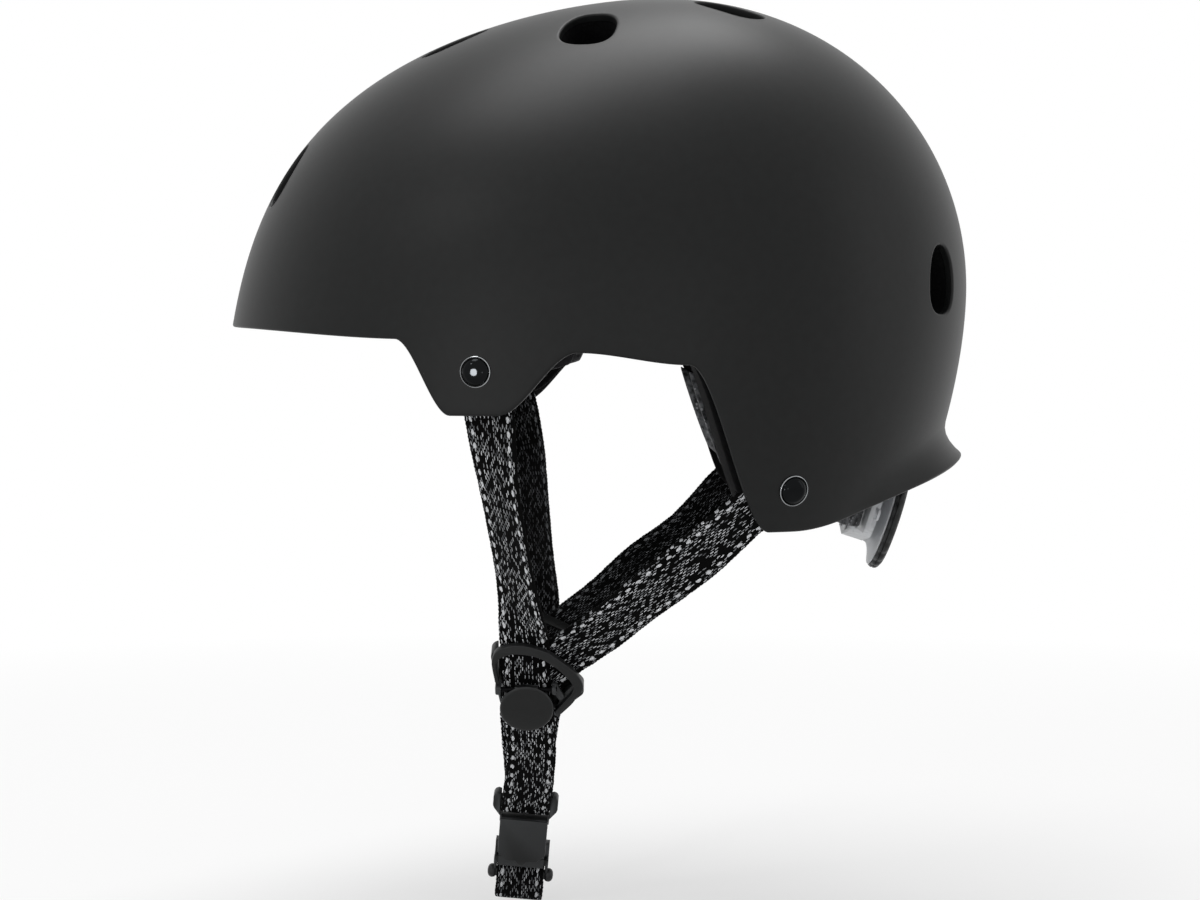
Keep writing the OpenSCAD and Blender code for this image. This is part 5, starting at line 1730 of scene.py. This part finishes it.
@dataclass(frozen=True)
class Moulding:
    """A hard piece made from its own solid with its arrises rounded."""

    node: str
    body: str
    slot: str
    radius: float
    angle: float = 32.0

    def build(
        self, frame: dict, material: Material, trims: Sequence[Piece] = (), extras: Sequence[Piece] = ()
    ) -> Piece:
        """Makes the piece from its solid and stands it in its place.

        Args:
            frame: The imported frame.
            material: Its finish.
            trims: Solids taken away from the copy.
            extras: Finer forms joined to it.

        Returns:
            The piece.
        """
        mesh = frame["nodes"][self.node].data.copy()
        piece = linked(f"{self.node}_moulded", mesh)

        def merge(work: bmesh.types.BMesh) -> None:
            """Merges the solid's triangles."""
            bmesh.ops.remove_doubles(work, verts=work.verts, dist=2e-6)
            bmesh.ops.dissolve_limit(
                work, angle_limit=math.radians(0.6), verts=work.verts, edges=work.edges,
                use_dissolve_boundaries=False,
            )

        edited(piece, merge)
        for layer in list(mesh.uv_layers):
            mesh.uv_layers.remove(layer)
        mesh.materials.clear()
        mesh.materials.append(material)
        if trims:
            cut(piece, trims)
        rounded(piece, self.radius, self.angle)
        if extras:
            joined(piece.name, [piece, *extras])
        return keep(piece, self.body, self.slot, self.node)


@dataclass(frozen=True)
class Divider:
    """Finer forms of a strap divider: its curved arch, the lugs of its hinge and the lever's disc."""

    side: Side
    material: Material
    low: float = 2.1
    high: float = 4.3
    lug_top: float = 5.6
    hinge_y: float = 0.45
    disc_r: float = 9.4
    disc_low: float = 5.75
    disc_t: float = 1.1

    def place(self, u: float, v: float, n: float) -> Array:
        """Point of this divider's frame in the part's frame."""
        return mirrored(divider_point(u, v, n), self.side)

    def solid(self, outline: Outline, low: float, high: float, radius: float = 0.0) -> Piece:
        """Extruded outline of this divider's frame."""
        return prism(outline, low, high, self.place, self.material, radius)

    def trims(self) -> list[Piece]:
        """Solid that clears the plain arch off the copy."""
        return [self.solid(rectangle((-22, 32), (-12, 32)), self.low - 0.06, 9)]

    def extras(self) -> list[Piece]:
        """The arch over the webbing, one curved band from leg to leg, and the hinge lugs."""
        outer = [
            (-9.3, 1.5), (-10.7, 9.4), (-11.7, 15.6), (-11.8, 19.7), (-10.2, 23.5), (-6.2, 25.4),
            (-1.5, 25.8), (3.3, 24.7), (8.3, 22.5), (13.2, 18.5), (16.7, 15.0), (19.1, 11.3),
            (19.9, 8.5), (19.3, 6.0), (17.4, 3.4), (15.4, 0.5), (10.6, -4.7),
        ]
        inner = [
            (-8.6, 3.6), (-9.4, 9.4), (-10.4, 15.2), (-10.4, 18.2), (-8.6, 20.6), (-5.0, 22.0),
            (-1.2, 22.0), (2.7, 21.2), (6.6, 19.4), (10.6, 16.2), (13.8, 12.8), (15.8, 9.9),
            (16.3, 7.8), (15.7, 5.5), (13.9, 3.0), (12.0, 0.6), (9.6, -2.4),
        ]
        arch = np.concatenate([curve(outer, 4), curve(inner, 4)[::-1]])
        right = [(8.9, 5.9), (11.6, 1.8), (13.4, 3.4), (10.5, 9.3), (8.9, 9.3)]
        inset = [(8.9, 6.2), (10.3, 5.7), (10.3, 9.0), (8.9, 9.0)]
        return [
            self.solid(arch, self.low - 0.1, self.high, 0.45),
            self.solid(rectangle((-10.9, -8.9), (5.9, 9.3)), self.low - 0.1, self.lug_top, 0.5),
            self.solid(right, self.low - 0.1, self.high - 0.8, 0.4),
            self.solid(inset, self.low + 0.2, self.lug_top, 0.4),
        ]

    def lever_trims(self) -> list[Piece]:
        """Solids that shorten the lever's hinge barrel, so that its disc hides it."""
        return [self.solid(rectangle((s * 4, s * 13), (5.9, 12)), 0, 9) for s in (-1, 1)]

    def disc(self) -> Piece:
        """The lever's thumb disc, slightly domed, over its hinge."""
        r, low, top = self.disc_r, self.disc_low, self.disc_low + self.disc_t
        profile = [
            (0, top), (r * 0.45, top - 0.05), (r - 1.2, top - 0.2), (r - 0.45, top - 0.36),
            (r - 0.1, top - 0.66), (r, low + 0.25), (r - 0.25, low), (0, low),
        ]

        def at_hinge(x: float, y: float, z: float) -> Array:
            """Point of the disc's own frame in the part's frame."""
            return self.place(x, y + self.hinge_y, z)

        return turned_item("disc", profile, 96, self.material, at_hinge)


@dataclass(frozen=True)
class Buckle:
    """Finer forms of the buckle's halves: rounded ears above, arms and knobs below."""

    material: Material
    ear_x: float = 11.8
    knob_r: float = 2.5

    def pair(self, outline: Outline, low: float, high: float, radius: float = 0.0) -> list[Piece]:
        """Extruded outline of the buckle's frame, on both of its ends."""
        return [
            prism([(s * x, y) for x, y in outline], low, high, buckle_point, self.material, radius)
            for s in (-1, 1)
        ]

    def upper_trims(self) -> list[Piece]:
        """Solids that clear the plain upper ears."""
        return self.pair(rectangle((9.0, 16.0), (6.2, 20.0)), -9, 9)

    def upper_extras(self) -> list[Piece]:
        """Upper ears: rounded outside, cut in towards the cover below."""
        w = self.ear_x
        ear = [
            (9.0, 17.4), (w - 1.6, 17.7), (w - 0.5, 17.2), (w, 16.2), (w, 12.6), (w - 0.4, 11.6),
            (8.9, 8.4), (8.3, 7.2), (8.3, 8.6), (9.0, 9.6),
        ]
        flange = [(7.6, 11.4), (9.4, 11.0), (9.4, 16.6), (7.6, 16.2)]
        return self.pair(ear, -2.6, 2.6, 0.6) + self.pair(flange, -0.5, 0.5, 0.15)

    def lower_trims(self) -> list[Piece]:
        """Solids that clear the plain lower ears."""
        boxes = ((9.0, 16.0), (-22.0, -10.6)), ((9.95, 16.0), (-11.0, -2.0))
        return [tool for x, y in boxes for tool in self.pair(rectangle(x, y), -9, 9)]

    def lower_extras(self) -> list[Piece]:
        """Arms down to the bar and the round knobs on its ends."""
        r, y = self.knob_r, LOW_BAR_Y
        arm = [(8.86, -10.2), (9.0, -8.0), (9.95, -8.0), (9.95, y - 1.0), (8.86, y - 1.0)]
        knob = [
            (0, 12.1), (r * 0.5, 11.95), (r * 0.82, 11.5), (r * 0.98, 10.8), (r, 10.2), (r * 0.9, 9.4),
            (r * 0.7, 9.0), (0, 9.0),
        ]
        return self.pair(arm, -2.3, 1.6, 0.4) + [
            turned_item("knob", knob, 40, self.material, lambda u, v, n, s=s: buckle_point(s * n, y + u, v))
            for s in (-1, 1)
        ]


@dataclass(frozen=True)
class Dial:
    """The fit dial: a fluted cap with a groove round its edge, and a trumpet-shaped dish."""

    looks: Looks
    radius: float = 21.0
    cap_t: float = 4.0
    dish_t: float = 4.6
    shaft_r: float = 3.04
    screw_r: float = 1.35
    flutes: int = 24
    flute_depth: float = 0.55

    def build(self) -> None:
        """Builds cap and dish in place of their solids."""
        r, top, back = self.radius, self.cap_t / 2, -self.cap_t / 2
        cap = [
            (0, top), (r * 0.5, top - 0.02), (r - 3.2, top - 0.1), (r - 1.9, top - 0.28),
            (r - 0.9, top - 0.75), (r - 0.3, top - 1.4), (r - 0.04, top - 2.1), (r - 0.02, top - 2.45),
            (r - 0.28, top - 2.6), (r - 0.28, top - 2.8), (r - 0.02, top - 2.95), (r - 0.12, back + 0.4),
            (r - 0.5, back + 0.02), (6.0, back), (6.0, back + 1.2), (0, back + 1.2),
        ]
        black, grey = self.looks["black_plastic"], self.looks["grey_plastic"]
        made = turned_item("dial_cap_fluted", cap, 288, black, dial_point, self.flutes, self.flute_depth)
        keep(made, "fit_dial", "black_plastic", "dial_cap")
        low, hub, rim = back - self.dish_t, r - 8.4, r - 1.0
        shares = [k / 10 for k in range(11)]
        flank = [(hub + (rim - hub) * s**1.9, low + 0.5 + (self.dish_t - 1.15) * s) for s in shares]
        step = low + self.dish_t - 1.55
        dish = [
            (self.shaft_r, low), (hub - 0.4, low), (hub, low + 0.25), *flank,
            (rim + 0.05, back - 0.3), (rim - 0.3, back - 0.05),
            (self.screw_r, back - 0.05), (self.screw_r, step), (self.shaft_r, step),
        ]
        made = turned_item("dial_dish_turned", dish, 160, grey, dial_point)
        keep(made, "fit_dial", "grey_plastic", "dial_dish")


MOULDINGS = (
    Moulding("buckle_cover", "helmet", "black_plastic", 0.35),
    Moulding("upper_magnets", "helmet", "steel", 0.12),
    Moulding("lower_magnets", "buckle_lower", "steel", 0.12),
    Moulding("dial_screw", "fit_dial", "steel", 0.15),
    Moulding("pinion", "fit_dial", "grey_plastic", 0.08),
    Moulding("fit_housing", "helmet", "grey_plastic", 0.4),
    Moulding("housing_cover", "helmet", "grey_plastic", 0.3),
    Moulding("cover_screws", "helmet", "steel", 0.12),
    Moulding("left_toothed_strip", "left_strip", "grey_plastic", 0.15),
    Moulding("right_toothed_strip", "right_strip", "grey_plastic", 0.15),
    Moulding("stem_pins", "helmet", "black_plastic", 0.2),
)


# Studio


@dataclass
class Studio:
    """Camera at the photograph's viewing angle, soft lamps, a pale floor and a white background."""

    focal_px: float = 2565.0
    width_px: float = 1200.0
    height_px: float = 900.0
    eye: Three = (0.01296, -0.950, -0.0056)
    centre_px: Two = (635.0, 340.0)
    sensor: float = 36.0
    ambient: float = 0.3
    floor_gap: float = 0.5
    floor_half: float = 6000.0

    def camera(self) -> None:
        """Creates the camera."""
        lens = bpy.data.cameras.new("camera")
        lens.sensor_width = self.sensor
        lens.lens = self.focal_px / self.width_px * self.sensor
        lens.shift_x = -(self.centre_px[0] - self.width_px / 2) / self.width_px
        lens.shift_y = -(self.height_px / 2 - self.centre_px[1]) / self.width_px
        made = linked("camera", lens)
        made.location = self.eye
        made.rotation_euler = (math.pi / 2, 0, 0)
        bpy.context.scene.camera = made

    def lamp(self, name: str, at: Sequence[float], size: Two, power: float) -> None:
        """Adds a soft lamp that looks at the helmet.

        Args:
            name: Name of the lamp.
            at: Its place in metres.
            size: Its width and height in metres.
            power: Its power in watts.
        """
        light = bpy.data.lights.new(name, "AREA")
        light.shape = "RECTANGLE"
        light.size, light.size_y = size
        light.energy = power
        place = Matrix.Translation(at)
        way = place.translation * -1
        linked(name, light).matrix_world = place @ way.to_track_quat("-Z", "Y").to_matrix().to_4x4()

    def world(self) -> None:
        """Makes a background that shows white and lights softly."""
        world = bpy.data.worlds.new("studio")
        bpy.context.scene.world = world
        world.use_nodes = True
        world.node_tree.nodes.clear()
        graph = Graph(world.node_tree)
        soft = graph.add("Background", (1, 1, 1, 1), self.ambient)
        white = graph.add("Background", (1, 1, 1, 1), 1.0)
        graph.add("OutputWorld", graph.add("MixShader", graph.rays(), soft, white))

    def floor(self) -> None:
        """Lays the pale floor under the lowest piece: white far off, with a soft shadow near it."""
        half, z = self.floor_half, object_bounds()[0][2] / MM - self.floor_gap
        made = bpy.data.materials.new("studio_floor")
        made.use_nodes = True
        nodes = made.node_tree.nodes
        graph, shader = Graph(made.node_tree), nodes["Principled BSDF"]
        graph.feed(shader, {"Base Color": linear("#f2f2f2"), "Roughness": 0.9})
        away = graph.add("VectorMath:LENGTH", graph.add("TexCoord", out="Object"), out="Value")
        share = graph.add("MapRange", away, 0.3, 0.9, 0.62, 1.0)
        clear = graph.add("Emission", (1, 1, 1, 1), 1.0)
        white = graph.add("Math:MULTIPLY", graph.rays(), share)
        mixed = graph.add("MixShader", white, shader.outputs["BSDF"], clear)
        # From below the floor is clear, so that the underside can be looked at
        under = graph.add("NewGeometry", out="Backfacing")
        seen = graph.add("MixShader", under, mixed, graph.add("BsdfTransparent"))
        graph.feed(nodes["Material Output"], {"Surface": seen})
        corners = [(x, y, z) for x, y in rectangle((-half, half), (-half, half))]
        mesh_object("studio_floor", corners, [[0, 1, 2, 3]], made)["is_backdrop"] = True

    def build(self) -> None:
        """Builds camera, background, floor and lamps."""
        bpy.context.scene.view_settings.view_transform = "Standard"
        self.camera()
        self.world()
        self.floor()
        self.lamp("top", (-0.12, 0.1, 1.15), (1.5, 0.5), 15)
        self.lamp("left", (-0.8, -0.85, 0.55), (0.14, 0.14), 1.1)
        self.lamp("rear", (1.1, -0.3, 0.2), (0.3, 0.9), 0.9)
        self.lamp("front", (0.1, -1.3, -0.2), (0.18, 0.18), 0.7)
        # Two small lamps in the mirror directions of the near rivets
        self.lamp("glint_front", (-0.704, -1.203, -0.166), (0.08, 0.08), 1.3)
        self.lamp("glint_rear", (1.041, -0.778, -0.566), (0.08, 0.08), 1.1)


def main() -> None:
    """Builds the studio and every piece, in order."""
    logging.basicConfig(level=logging.INFO, format="%(message)s", stream=sys.stdout)
    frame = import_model()
    Studio().build()
    looks = {name: finish.material() for name, finish in FINISHES.items()}
    form, stamps, black = HelmetForm(), Stamps(), looks["black_plastic"]
    Shell(form, looks).build()
    Liner(form, looks).build()
    Rivets(form, looks, stamps).build()
    Webbing(form, looks).build()
    Padding(form, looks, stamps).build()
    for moulding in MOULDINGS:
        moulding.build(frame, looks[moulding.slot])
    for side in Side:
        word, divider = side.name.lower(), Divider(side, black)
        node = f"{word}_divider"
        frame_piece = Moulding(f"{node}_frame", "helmet", "black_plastic", 0.3)
        frame_piece.build(frame, black, divider.trims(), divider.extras())
        Moulding(f"{node}_pin", "helmet", "steel", 0.15).build(frame, looks["oxide"])
        lever = Moulding(f"{node}_lever", f"{word}_lever", "black_plastic", 0.3)
        lever.build(frame, black, divider.lever_trims(), [divider.disc()])
    buckle = Buckle(black)
    upper = Moulding("buckle_upper", "helmet", "black_plastic", 0.4)
    upper.build(frame, black, buckle.upper_trims(), buckle.upper_extras())
    lower = Moulding("buckle_lower", "buckle_lower", "black_plastic", 0.4)
    lower.build(frame, black, buckle.lower_trims(), buckle.lower_extras())
    Dial(looks).build()
    LOG.info("sizes written")


if __name__ == "__main__":
    main()
